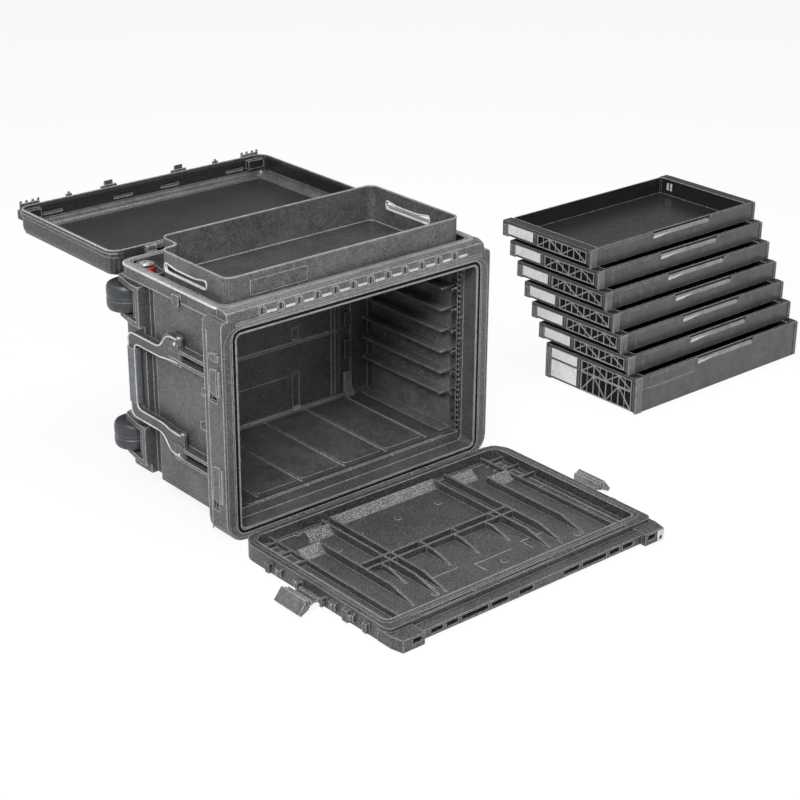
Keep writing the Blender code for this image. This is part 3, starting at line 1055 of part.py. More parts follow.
def make_valve():
    base = VALVE_LEDGE + GAP
    collar = plate("collar", [circle(VALVE_X, VALVE_Y, 19 * MM, 28), circle(VALVE_X, VALVE_Y, 9 * MM, 20)],
                   "Z", base, base + 7.7 * MM)
    finish(collar, "valve_collar", red)
    cap = rod("cap", (VALVE_X, VALVE_Y, base + 10.9 * MM), "Z", 17 * MM, 5.8 * MM, 28)
    stem = rod("stem", (VALVE_X, VALVE_Y, base + 4.7 * MM), "Z", 9 * MM - GAP, 9 * MM, 20)
    finish(join(cap, stem), "valve_cap", silver)


make_body()
make_seals()
make_lid()
make_door()
make_latch()
make_racks()
make_drawers()
make_tray()
make_handle()
make_wheels()
make_pull_handle()
make_valve()

for spare in list(cutters.objects):
    if not any(step.type == "BOOLEAN" and step.object == spare
               for piece in case.objects for step in piece.modifiers):
        bpy.data.objects.remove(spare, do_unlink=True)
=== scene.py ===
import math

import bmesh
import bpy
from mathutils import Matrix, Vector


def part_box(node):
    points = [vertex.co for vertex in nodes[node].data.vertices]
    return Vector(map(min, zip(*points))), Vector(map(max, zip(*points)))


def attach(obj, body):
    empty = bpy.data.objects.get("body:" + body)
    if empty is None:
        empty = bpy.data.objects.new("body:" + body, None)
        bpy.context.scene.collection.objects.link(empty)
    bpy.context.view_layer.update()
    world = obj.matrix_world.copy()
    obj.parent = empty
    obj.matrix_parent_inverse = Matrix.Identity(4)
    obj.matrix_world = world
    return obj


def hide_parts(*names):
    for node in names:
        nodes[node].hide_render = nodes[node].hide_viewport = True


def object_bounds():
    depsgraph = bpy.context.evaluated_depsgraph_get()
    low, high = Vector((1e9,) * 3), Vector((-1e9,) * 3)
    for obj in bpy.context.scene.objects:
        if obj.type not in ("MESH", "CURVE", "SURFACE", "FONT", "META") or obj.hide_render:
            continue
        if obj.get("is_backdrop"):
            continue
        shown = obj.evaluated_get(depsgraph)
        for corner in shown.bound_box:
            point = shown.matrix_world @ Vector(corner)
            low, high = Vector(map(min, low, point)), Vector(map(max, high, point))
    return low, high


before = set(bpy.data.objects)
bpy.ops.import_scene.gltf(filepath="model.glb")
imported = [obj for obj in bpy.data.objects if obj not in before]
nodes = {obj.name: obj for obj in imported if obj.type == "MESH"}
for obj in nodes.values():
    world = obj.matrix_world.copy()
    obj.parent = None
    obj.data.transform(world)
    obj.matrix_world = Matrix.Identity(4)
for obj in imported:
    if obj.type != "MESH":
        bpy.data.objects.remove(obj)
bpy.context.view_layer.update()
mm = 0.001
print("frame loaded:", len(nodes), "nodes")


# the plastics, rubbers and metals, worked out from each point of the piece itself
def addNode(tree, kind, inputs=None, **settings):
    made = tree.nodes.new(kind)
    for key, value in settings.items():
        setattr(made, key, value)
    for key, value in (inputs or {}).items():
        if isinstance(value, bpy.types.NodeSocket):
            tree.links.new(value, made.inputs[key])
        else:
            made.inputs[key].default_value = value
    return made


def addMath(tree, operation, *inputs):
    return addNode(tree, "ShaderNodeMath", dict(enumerate(inputs)), operation=operation).outputs["Value"]


def vectorMath(tree, operation, *inputs):
    return addNode(tree, "ShaderNodeVectorMath", dict(enumerate(inputs)), operation=operation).outputs


def mixColour(tree, factor, first, second, blend="MIX"):
    mix = addNode(tree, "ShaderNodeMix", {0: factor, 6: first, 7: second}, data_type="RGBA", blend_type=blend)
    return mix.outputs[2]


def spread(tree, value, low, high, toLow=0, toHigh=1):
    ranged = addNode(tree, "ShaderNodeMapRange", {"Value": value, "From Min": low, "From Max": high,
                                                  "To Min": toLow, "To Max": toHigh})
    return ranged.outputs["Result"]


def grey(level):
    return (level, level, level, 1)


def asColour(tone):
    return tone if isinstance(tone, tuple) else grey(tone)


def newMaterial(name):
    mat = bpy.data.materials.new(name)
    mat.use_nodes = True
    return mat, mat.node_tree


# how the grain and the painted highlight along the edges of every moulded piece are built up
grain = dict(broadScale=16, broadDetail=4, broadRoughness=0.6, mottleDetail=7, mottleRoughness=0.68,
             distortion=0.6, pebbleSmoothness=0.6, mottleShare=0.62, broadShare=0.38, tone=(0.41, 0.60),
             speckle=(0.55, 0.15), patchyHighlight=(0.32, 0.56), leastHighlight=0.35, roughFrom=(0.35, 0.65), roughRise=0.09,
             roughDrop=0.07, bumpHeight=0.0005, edgeTurn=(0.997, 0.91), edgeSamples=6)


def edgeMask(tree, width, strength):
    # 0 on flat areas, towards 1 where the surface turns within the given width
    soft = addNode(tree, "ShaderNodeBevel", {"Radius": width}, samples=grain["edgeSamples"]).outputs["Normal"]
    plain = addNode(tree, "ShaderNodeNewGeometry").outputs["True Normal"]
    facing = vectorMath(tree, "DOT_PRODUCT", soft, plain)["Value"]
    return spread(tree, facing, *grain["edgeTurn"], 0, strength)


def insideBox(tree, place, low, high):
    # 1 inside a box given in millimetres, 0 outside it
    centre = [(a + b) * mm / 2 for a, b in zip(low, high)]
    half = [(b - a) * mm / 2 for a, b in zip(low, high)]
    away = vectorMath(tree, "SUBTRACT", place, centre)["Vector"]
    away = vectorMath(tree, "ABSOLUTE", away)["Vector"]
    away = vectorMath(tree, "SUBTRACT", away, half)["Vector"]
    parts = addNode(tree, "ShaderNodeSeparateXYZ", {"Vector": away}).outputs
    most = addMath(tree, "MAXIMUM", addMath(tree, "MAXIMUM", parts["X"], parts["Y"]), parts["Z"])
    return addMath(tree, "LESS_THAN", most, 0)


def mouldedPlastic(name, look):
    mat, tree = newMaterial(name)
    shader = tree.nodes["Principled BSDF"]
    dark, light, edge = [asColour(tone) for tone in look["tones"]]
    place = addNode(tree, "ShaderNodeTexCoord").outputs["Object"]
    broad = addNode(tree, "ShaderNodeTexNoise", {
        "Vector": place, "Scale": grain["broadScale"], "Detail": grain["broadDetail"],
        "Roughness": grain["broadRoughness"]}).outputs["Fac"]
    mottle = addNode(tree, "ShaderNodeTexNoise", {
        "Vector": place, "Scale": look["mottle"], "Detail": grain["mottleDetail"],
        "Roughness": grain["mottleRoughness"], "Distortion": grain["distortion"]}).outputs["Fac"]
    pebble = addNode(tree, "ShaderNodeTexVoronoi", {
        "Vector": place, "Scale": look["pebble"], "Smoothness": grain["pebbleSmoothness"]},
        feature="SMOOTH_F1").outputs["Distance"]
    fine = addMath(tree, "MULTIPLY", mottle, grain["mottleShare"])
    both = addMath(tree, "MULTIPLY_ADD", broad, grain["broadShare"], fine)
    tone = mixColour(tree, spread(tree, both, *grain["tone"]), dark, light)
    speckled = spread(tree, pebble, *grain["speckle"], 0, look["speckle"])
    tone = mixColour(tree, speckled, tone, edge)
    # painted shade and painted light: inside each zone's box the colour is multiplied by its factor
    for low, high, shade in look.get("zones", ()):
        zoned = mixColour(tree, 1, tone, grey(shade), "MULTIPLY")
        tone = mixColour(tree, insideBox(tree, place, low, high), tone, zoned)
    # painted highlight: edges and beads turned toward the pale edge tone, in patches set by the mottle
    patchy = spread(tree, mottle, *grain["patchyHighlight"], grain["leastHighlight"], 1)
    patchyHighlight = addMath(tree, "MULTIPLY", edgeMask(tree, look["edgeWidth"], look["edgeHighlight"]), patchy)
    tone = mixColour(tree, patchyHighlight, tone, edge)
    shader.inputs["Specular IOR Level"].default_value = look.get("gloss", 0.5)
    tree.links.new(tone, shader.inputs["Base Color"])
    dull, sheen = look["rough"] + grain["roughRise"], look["rough"] - grain["roughDrop"]
    tree.links.new(spread(tree, mottle, *grain["roughFrom"], dull, sheen), shader.inputs["Roughness"])
    bump = addNode(tree, "ShaderNodeBump", {"Height": addMath(tree, "ADD", pebble, mottle),
                                            "Strength": look["bump"], "Distance": grain["bumpHeight"]})
    tree.links.new(bump.outputs["Normal"], shader.inputs["Normal"])
    return mat


brushing = dict(stainScale=90, detail=5, stain=(0.35, 0.7), line=(0.4, 0.7), lineShare=0.35,
                roughFrom=(0.3, 0.7), roughDrop=0.08, roughRise=0.1)


def metal(name, look):
    mat, tree = newMaterial(name)
    shader = tree.nodes["Principled BSDF"]
    place = addNode(tree, "ShaderNodeTexCoord").outputs["Object"]
    drawnOut = addNode(tree, "ShaderNodeMapping", {"Vector": place, "Scale": look["brush"]}).outputs["Vector"]
    brushed = addNode(tree, "ShaderNodeTexNoise", {"Vector": drawnOut, "Scale": 1,
                                                   "Detail": brushing["detail"]}).outputs["Fac"]
    stain = addNode(tree, "ShaderNodeTexNoise", {"Vector": place, "Scale": brushing["stainScale"],
                                                 "Detail": brushing["detail"]}).outputs["Fac"]
    tone = mixColour(tree, spread(tree, stain, *brushing["stain"]), look["light"], look["dark"])
    lines = spread(tree, brushed, *brushing["line"], 0, brushing["lineShare"])
    tree.links.new(mixColour(tree, lines, tone, look["dark"]), shader.inputs["Base Color"])
    sheen, dull = look["rough"] - brushing["roughDrop"], look["rough"] + brushing["roughRise"]
    tree.links.new(spread(tree, brushed, *brushing["roughFrom"], sheen, dull), shader.inputs["Roughness"])
    shader.inputs["Metallic"].default_value = 1
    return mat


# tones: dark, light and painted edge highlight; zones: a box in millimetres and what the colour in it is
# multiplied by, painted shade below 1 and painted light above 1
plastics = {
    "casePlastic": dict(
        tones=(0.040, 0.090, 0.56), mottle=210, pebble=420, speckle=0.16,
        edgeWidth=0.003, edgeHighlight=0.85, rough=0.42, bump=0.55,
        zones=[((-292, 20.5, 38), (292, 303, 398), 0.85),  # painted shade darkening the bay
               ((-284, 15, 412), (284, 310, 443), 0.30)]),  # painted shade darkening the well under the tray
    "framePlastic": dict(
        tones=(0.032, 0.070, 0.56), mottle=220, pebble=500, speckle=0.08,
        edgeWidth=0.002, edgeHighlight=0.85, rough=0.38, bump=0.4),
    "doorPlastic": dict(
        tones=(0.022, 0.050, 0.52), mottle=240, pebble=380, speckle=0.2,
        edgeWidth=0.0015, edgeHighlight=0.8, rough=0.38, bump=0.5,
        zones=[((-128, -98, 9.4), (115, -79.5, 30.5), 2.6),  # painted highlight lightening the ramps near the hinge
               ((-201, -119, 9.4), (-150, -97.5, 30.5), 2.6), ((150, -119, 9.4), (201, -97.5, 30.5), 2.6),
               ((-251, -165, 9.4), (-205, -141.5, 30.5), 2.6), ((205, -165, 9.4), (251, -141.5, 30.5), 2.6)]),
    "lidPlastic": dict(
        tones=(0.023, 0.047, 0.42), mottle=150, pebble=420, speckle=0.07,
        edgeWidth=0.003, edgeHighlight=0.85, rough=0.36, bump=0.35,
        zones=[((-294.5, 348, 405.8), (294.5, 686.5, 446), 0.42)]),  # painted shade darkening the inside
    "trayPlastic": dict(
        tones=(0.044, 0.105, 0.55), mottle=130, pebble=380, speckle=0.16,
        edgeWidth=0.004, edgeHighlight=0.9, rough=0.36, bump=0.4,
        zones=[((-269.3, 22.7, 415.4), (265.3, 280.3, 489), 0.92),  # painted shade darkening the inside
               ((-269.3, 22.7, 415.4), (265.3, 280.3, 417), 0.50)]),  # more painted shade on its floor
    "runnerPlastic": dict(
        tones=(0.075, 0.165, 0.50), mottle=140, pebble=500, speckle=0.06,
        edgeWidth=0.0012, edgeHighlight=0.8, rough=0.34, bump=0.3),
    "padPlastic": dict(
        tones=(0.56, 0.72, 0.78), mottle=120, pebble=700, speckle=0.08,
        edgeWidth=0.0008, edgeHighlight=0.6, rough=0.42, bump=0.15),
    # painted highlight: a lighter satin for bands, beads, lips, lattice bars and strips that stand in for
    # bright highlights
    "satinHighlightPlastic": dict(
        tones=(0.15, 0.26, 0.42), mottle=60, pebble=700, speckle=0.05,
        edgeWidth=0.0012, edgeHighlight=0.8, rough=0.3, bump=0.12),
    # painted highlight: beads and ribs several times lighter than the case, standing in for the bright lines
    # along them
    "beadHighlightPlastic": dict(
        tones=(0.13, 0.27, 0.55), mottle=110, pebble=500, speckle=0.15,
        edgeWidth=0.0008, edgeHighlight=0.7, rough=0.3, bump=0.3),
    # painted highlight: a near-white plastic for beads and bars standing in for bright highlights, and
    # painted light in the slots of the drawer walls
    "highlightPlastic": dict(
        tones=(0.36, 0.60, 0.80), mottle=110, pebble=500, speckle=0.15,
        edgeWidth=0.001, edgeHighlight=0.7, rough=0.3, bump=0.2),
    "floorPlastic": dict(
        tones=(0.054, 0.118, 0.42), mottle=130, pebble=420, speckle=0.1,
        edgeWidth=0.0016, edgeHighlight=0.8, rough=0.3, bump=0.3),
    "coveGloss": dict(
        tones=(0.050, 0.095, 0.30), mottle=90, pebble=420, speckle=0.06,
        edgeWidth=0.001, edgeHighlight=0.3, rough=0.22, bump=0.3),
    # rubber for the door seal and the strip teeth; also painted shade, near-black for holes, slits, grooves
    # and the gaps behind slots and lattices
    "sealRubberAndShade": dict(
        tones=(0.004, 0.012, 0.05), mottle=160, pebble=700, speckle=0.05,
        edgeWidth=0.001, edgeHighlight=0.3, rough=0.6, bump=0.3, gloss=0.08),
    "gripRubber": dict(
        tones=((0.075, 0.080, 0.092, 1), (0.130, 0.138, 0.155, 1), (0.34, 0.35, 0.38, 1)),
        mottle=90, pebble=700, speckle=0.06, edgeWidth=0.004, edgeHighlight=0.6, rough=0.4, bump=0.2),
    "wheelRubber": dict(
        tones=((0.020, 0.022, 0.027, 1), (0.044, 0.047, 0.055, 1), (0.20, 0.21, 0.23, 1)),
        mottle=90, pebble=600, speckle=0.06, edgeWidth=0.003, edgeHighlight=0.6, rough=0.36, bump=0.25),
    "valveRed": dict(
        tones=((0.30, 0.010, 0.010, 1), (0.50, 0.030, 0.020, 1), (0.7, 0.2, 0.15, 1)),
        mottle=120, pebble=700, speckle=0.06, edgeWidth=0.001, edgeHighlight=0.4, rough=0.35, bump=0.2),
}


def boxOf(name):
    return [[c / mm for c in corner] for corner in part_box(name)]


# each drawer's own finish: satin outside, with painted shade making it nearly black inside and painted
# highlight making the end caps in front paler
drawerSatin = dict(tones=(0.046, 0.074, 0.46), mottle=60, pebble=800, speckle=0.05,
                   edgeWidth=0.0012, edgeHighlight=0.8, rough=0.3, bump=0.12)
drawerZones = dict(spare=5, frontDepth=5.2, skin=0.8, insideShade=0.22, capWidth=22, capDepth=2.6,
                   capHighlight=1.7)
drawers = [n for n in nodes if n.startswith("drawer_")]
for n in drawers:
    (xLow, yLow, zLow), (xHigh, yHigh, zHigh) = boxOf(n)
    spare, skin = drawerZones["spare"], drawerZones["skin"]
    # painted shade over everything behind the front face, leaving out the outer skin of the right side and
    # the back
    inside = ((xLow - spare, yLow + drawerZones["frontDepth"], zLow - spare),
              (xHigh - skin, yHigh - skin, zHigh + spare), drawerZones["insideShade"])
    # painted highlight lightening the end caps at the front left
    cap = ((xLow - 1, yLow - 2, zLow - 1),
           (xLow + drawerZones["capWidth"], yLow + drawerZones["capDepth"], zHigh + 1),
           drawerZones["capHighlight"])
    plastics["satin_" + n] = dict(drawerSatin, zones=[inside, cap])
finishes = {name: mouldedPlastic(name, look) for name, look in plastics.items()}
metals = {"steel": dict(light=grey(0.86), dark=grey(0.52), brush=(900, 60, 60), rough=0.3),
          "aluminium": dict(light=grey(0.55), dark=grey(0.38), brush=(60, 900, 900), rough=0.34)}
finishes.update({name: metal(name, look) for name, look in metals.items()})

nodeFinish = {
    "casePlastic": ["case_body"], "doorPlastic": ["front_door"], "lidPlastic": ["lid_shell"],
    "trayPlastic": ["top_tray"], "sealRubberAndShade": ["door_seal"], "valveRed": ["valve_collar"],
    "runnerPlastic": ["runner_rack_left", "runner_rack_right", "pull_handle_guide_upper",
                      "pull_handle_guide_lower"],
    "framePlastic": ["side_handle_left", "side_handle_right", "pull_handle", "latch_link_left",
                     "latch_link_right", "latch_lever_left", "latch_lever_right"],
    "gripRubber": ["handle_grip_left", "handle_grip_right", "pull_handle_button"],
    "wheelRubber": ["wheel_upper", "wheel_lower"],
    "aluminium": ["valve_cap"],
    "steel": [n for n in nodes if "pin" in n or "axle" in n or "padlock" in n or "clip_strip" in n],
}
nodeFinish.update({"satin_" + n: [n] for n in drawers})
for finish, names in nodeFinish.items():
    for n in names:
        nodes[n].data.materials.clear()
        nodes[n].data.materials.append(finishes[finish])
bare = sorted(set(nodes) - {n for names in nodeFinish.values() for n in names})
print("finishes made:", len(finishes), "nodes left without one:", bare)


# ways of making a piece; sizes are in millimetres
axisTurn = {"X": Matrix(((0, 0, 1, 0), (1, 0, 0, 0), (0, 1, 0, 0), (0, 0, 0, 1))),
            "Y": Matrix(((1, 0, 0, 0), (0, 0, -1, 0), (0, 1, 0, 0), (0, 0, 0, 1))),
            "Z": Matrix.Identity(4)}
bothSides = ((-1, "left"), (1, "right"))


def around(middle, half):
    return (middle - half, middle + half)


def shifted(values, by):
    return [by + value for value in values]


def newObject(name, data):
    obj = bpy.data.objects.new(name, data)
    bpy.context.scene.collection.objects.link(obj)
    return obj


def addBrick(bm, x, y, z):
    low = Vector((min(x), min(y), min(z))) * mm
    high = Vector((max(x), max(y), max(z))) * mm
    size = Matrix.Diagonal((*(high - low), 1))
    bmesh.ops.create_cube(bm, size=1, matrix=Matrix.Translation((low + high) / 2) @ size)


def bricks(boxes, side=1):
    # each box is a range of x, of y and of z; side -1 puts it on the left
    bm = bmesh.new()
    for x, y, z in boxes:
        addBrick(bm, (side * x[0], side * x[1]), y, z)
    return bm


def addSlab(bm, outline, axis, low, high):
    # outline in (y, z) for X, (x, z) for Y and (x, y) for Z
    place = {"X": lambda p, t: (t, p[0], p[1]), "Y": lambda p, t: (p[0], t, p[1]),
             "Z": lambda p, t: (p[0], p[1], t)}[axis]
    near = [bm.verts.new(Vector(place(p, low)) * mm) for p in outline]
    far = [bm.verts.new(Vector(place(p, high)) * mm) for p in outline]
    faces = [bm.faces.new(near), bm.faces.new(far[::-1])]
    for i in range(len(near)):
        j = (i + 1) % len(near)
        faces.append(bm.faces.new((near[i], far[i], far[j], near[j])))
    bmesh.ops.recalc_face_normals(bm, faces=faces)


def addHull(bm, points):
    # the solid between a handful of corner points
    verts = [bm.verts.new(Vector(p) * mm) for p in points]
    made = bmesh.ops.convex_hull(bm, input=verts)
    inner = [v for v in made["geom_interior"] if isinstance(v, bmesh.types.BMVert)]
    bmesh.ops.delete(bm, geom=inner, context="VERTS")


def addDisc(bm, centre, axis, disc):
    # disc has a radius, a depth and a number of sides, and a top if that is smaller
    bmesh.ops.create_cone(bm, cap_ends=True, segments=disc["sides"], radius1=disc["radius"] * mm,
                          radius2=disc.get("top", disc["radius"]) * mm, depth=disc["depth"] * mm,
                          matrix=Matrix.Translation(Vector(centre) * mm) @ axisTurn[axis])


def joinRings(bm, rings):
    # a closed wall from each ring of points to the next, and from the last back to the first
    for ring, following in zip(rings, rings[1:] + rings[:1]):
        for k in range(len(ring)):
            j = (k + 1) % len(ring)
            bm.faces.new((ring[k], ring[j], following[j], following[k]))
    bmesh.ops.recalc_face_normals(bm, faces=bm.faces)


def ringPath(x, y, radius, steps=6):
    # a rounded rectangle, counterclockwise
    path = []
    for cx, cy, start in ((x[1] - radius, y[1] - radius, 0), (x[0] + radius, y[1] - radius, 90),
                          (x[0] + radius, y[0] + radius, 180), (x[1] - radius, y[0] + radius, 270)):
        for i in range(steps + 1):
            t = math.radians(start + 90 * i / steps)
            path.append((cx + radius * math.cos(t), cy + radius * math.sin(t)))
    return path


def roundPath(points, radius, closed=False, steps=4):
    # a flat path with its corners rounded, over at most 0.45 of the way to the next corner
    path = []
    for i, spot in enumerate(points):
        if not closed and i in (0, len(points) - 1):
            path.append(tuple(spot))
            continue
        corner = Vector(spot)
        back, on = Vector(points[i - 1]) - corner, Vector(points[(i + 1) % len(points)]) - corner
        reach = min(radius, back.length * 0.45, on.length * 0.45)
        start, end = corner + back.normalized() * reach, corner + on.normalized() * reach
        for k in range(steps + 1):
            t = k / steps
            path.append(tuple(start * (1 - t) ** 2 + corner * 2 * t * (1 - t) + end * t * t))
    return path


def addBar(bm, start, end, width, low, high):
    # a flat bar on an upright side panel, between two (y, z) points
    along = (Vector(end) - Vector(start)).normalized() * (width / 2)
    side = Vector((-along.y, along.x))
    a, b = Vector(start) - along, Vector(end) + along
    addSlab(bm, [tuple(a + side), tuple(a - side), tuple(b - side), tuple(b + side)], "X", low, high)


def makePiece(name, bm, finish, body, bevel=0, steps=2, smooth=35):
    mesh = bpy.data.meshes.new(name)
    bm.to_mesh(mesh)
    bm.free()
    mesh.materials.append(finishes[finish])
    obj = newObject(name, mesh)
    if bevel:
        cut = obj.modifiers.new("edges", "BEVEL")
        cut.width, cut.segments = bevel * mm, steps
        cut.limit_method, cut.angle_limit = "ANGLE", math.radians(40)
    mesh.shade_smooth()
    mesh.set_sharp_from_angle(angle=math.radians(smooth))
    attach(obj, body)
    return obj


def finishedMesh(obj):
    # what the object's curve or modifiers make, as loose geometry; the object itself goes
    bpy.context.view_layer.update()
    mesh = bpy.data.meshes.new_from_object(obj.evaluated_get(bpy.context.evaluated_depsgraph_get()))
    bpy.data.objects.remove(obj, do_unlink=True)
    bm = bmesh.new()
    bm.from_mesh(mesh)
    return bm


def makeWire(name, paths, radius, finish, body, closed=True):
    # round beads along one or more paths
    curve = bpy.data.curves.new(name, "CURVE")
    curve.dimensions, curve.bevel_depth, curve.bevel_resolution = "3D", radius * mm, 3
    curve.use_fill_caps = not closed
    for path in paths:
        spline = curve.splines.new("POLY")
        spline.points.add(len(path) - 1)
        for point, spot in zip(spline.points, path):
            point.co = (*[c * mm for c in spot], 1)
        spline.use_cyclic_u = closed
    bm = finishedMesh(newObject(name, curve))
    bmesh.ops.remove_doubles(bm, verts=bm.verts, dist=1e-6)
    bmesh.ops.recalc_face_normals(bm, faces=bm.faces)
    return makePiece(name, bm, finish, body)


def makeRingBead(name, bead, finish, body):
    # a bead on a level rounded rectangle, or only on the part of it behind a given y
    ring = ringPath(bead["x"], bead["y"], bead["corner"])
    path = [(x, y, bead["z"]) for x, y in ring if "behind" not in bead or y > bead["behind"]]
    makeWire(name, [path], bead["radius"], finish, body, closed="behind" not in bead)


def makeLathe(name, profile, centre, finish, body, sides=56):
    # (radius, height) pairs turned round an upright axis and closed at both ends
    bm = bmesh.new()
    turns = [2 * math.pi * k / sides for k in range(sides)]
    rings = [[bm.verts.new(Vector((centre[0] + radius * math.cos(t), centre[1] + radius * math.sin(t),
                                   centre[2] + height)) * mm) for t in turns] for radius, height in profile]
    for lower, upper in zip(rings, rings[1:]):
        for k in range(sides):
            bm.faces.new((lower[k], lower[(k + 1) % sides], upper[(k + 1) % sides], upper[k]))
    bm.faces.new(rings[0][::-1])
    bm.faces.new(rings[-1])
    bmesh.ops.recalc_face_normals(bm, faces=bm.faces)
    return makePiece(name, bm, finish, body, smooth=28)


def patternTree():
    # a unit repeated on a grid of two directions, made real and given one material
    tree = bpy.data.node_groups.new("repeatedUnit", "GeometryNodeTree")
    for label, kind in (("Unit", "NodeSocketObject"), ("Across", "NodeSocketInt"),
                        ("Across Step", "NodeSocketVector"), ("Along", "NodeSocketInt"),
                        ("Along Step", "NodeSocketVector"), ("Start", "NodeSocketVector"),
                        ("Finish", "NodeSocketMaterial")):
        tree.interface.new_socket(name=label, in_out="INPUT", socket_type=kind)
    tree.interface.new_socket(name="Geometry", in_out="OUTPUT", socket_type="NodeSocketGeometry")
    given = tree.nodes.new("NodeGroupInput").outputs
    across = addNode(tree, "GeometryNodeMeshLine", {"Count": given["Across"], "Offset": given["Across Step"],
                                                    "Start Location": given["Start"]})
    along = addNode(tree, "GeometryNodeMeshLine", {"Count": given["Along"], "Offset": given["Along Step"]})
    rows = addNode(tree, "GeometryNodeInstanceOnPoints", {"Points": across.outputs["Mesh"],
                                                          "Instance": along.outputs["Mesh"]})
    spots = addNode(tree, "GeometryNodeRealizeInstances", {"Geometry": rows.outputs["Instances"]})
    unit = addNode(tree, "GeometryNodeObjectInfo", {"Object": given["Unit"]})
    placed = addNode(tree, "GeometryNodeInstanceOnPoints", {"Points": spots.outputs["Geometry"],
                                                            "Instance": unit.outputs["Geometry"]})
    real = addNode(tree, "GeometryNodeRealizeInstances", {"Geometry": placed.outputs["Instances"]})
    done = addNode(tree, "GeometryNodeSetMaterial", {"Geometry": real.outputs["Geometry"],
                                                     "Material": given["Finish"]})
    addNode(tree, "NodeGroupOutput", {"Geometry": done.outputs["Geometry"]})
    return tree


repeatTree = patternTree()


def unitObject(name, bm):
    mesh = bpy.data.meshes.new(name)
    bm.to_mesh(mesh)
    bm.free()
    return newObject(name, mesh)


def makeRepeat(name, unit, finish, body, start, across=(1, (0, 0, 0)), along=(1, (0, 0, 0)), bevel=0):
    # across and along are each a count and a step
    host = newObject(name, bpy.data.meshes.new(name))
    grid = host.modifiers.new("pattern", "NODES")
    values = {"Unit": unit, "Across": across[0], "Across Step": [c * mm for c in across[1]],
              "Along": along[0], "Along Step": [c * mm for c in along[1]],
              "Start": [c * mm for c in start], "Finish": finishes[finish]}
    sockets = {s.name: s.identifier for s in repeatTree.interface.items_tree if s.in_out == "INPUT"}
    grid.node_group = repeatTree
    for label, value in values.items():
        grid[sockets[label]] = value
    bm = finishedMesh(host)
    bpy.data.objects.remove(unit, do_unlink=True)
    return makePiece(name, bm, finish, body, bevel)


# case: the beads round the top rim, and a band on its top face lightened as painted highlight
rimBead = dict(x=(-298, 298), y=(0, 325), corner=25, z=441.4, radius=2.3)
makeRingBead("rim_bead", rimBead, "highlightPlastic", "case")
rimLine = dict(x=(-298.2, 298.2), y=(-0.2, 325.2), corner=25, z=420.5, radius=1.1, behind=14)
makeRingBead("rim_line", rimLine, "beadHighlightPlastic", "case")
rimBand = dict(outer=((-297.6, 297.6), (0.4, 324.6), 24.6), inner=((-287.5, 287.5), (10.5, 314.5), 15),
               foot=443.4, outerTop=444, innerTop=444.25)
outer, inner = ringPath(*rimBand["outer"]), ringPath(*rimBand["inner"])
edges = ((outer, rimBand["foot"]), (outer, rimBand["outerTop"]), (inner, rimBand["innerTop"]),
         (inner, rimBand["foot"]))
bm = bmesh.new()
joinRings(bm, [[bm.verts.new(Vector((*spot, z)) * mm) for spot in loop] for loop, z in edges])
makePiece("rim_top_band", bm, "satinHighlightPlastic", "case")
print("rim done")

# case: beads round the front opening, and the beam over it with its bars and pockets
frameBeads = (dict(half=307, low=6, high=411, corner=30, y=-15.6, radius=1.1),
              dict(half=293, low=12, high=409, corner=22, y=-15.6, radius=1.1),
              dict(half=280.4, low=21.6, high=398.4, corner=12, y=-15.4, radius=1.3))
for i, bead in enumerate(frameBeads):
    ring = ringPath((-bead["half"], bead["half"]), (bead["low"], bead["high"]), bead["corner"])
    path = [(x, bead["y"], z) for x, z in ring]
    makeWire(f"frame_bead_{i + 1}", [path], bead["radius"], "beadHighlightPlastic", "case")
beam = dict(pitch=40.6, count=12, barsFrom=-5, postsFrom=-5.5,
            bar=[((-10.5, 10.5), (-16.75, -14.6), (422.8, 427.6))],
            posts=[((-7.2, 7.2), (-4.2, -2.8), (422.5, 435.5)), ((-5.4, -2.6), (-15.6, -3.5), (423.5, 434.5)),
                   ((2.6, 5.4), (-15.6, -3.5), (423.5, 434.5))],
            line=[((-276, 286), (-16.7, -15.6), (416.2, 417.4))])
row = (beam["count"], (beam["pitch"], 0, 0))
makeRepeat("beam_bars", unitObject("beam_bar", bricks(beam["bar"])), "highlightPlastic", "case",
           (beam["barsFrom"] * beam["pitch"], 0, 0), across=row, bevel=0.3)
makeRepeat("beam_pocket_posts", unitObject("beam_posts", bricks(beam["posts"])), "runnerPlastic", "case",
           (beam["postsFrom"] * beam["pitch"], 0, 0), across=row, bevel=0.3)
makePiece("beam_line", bricks(beam["line"]), "beadHighlightPlastic", "case", bevel=0.3)

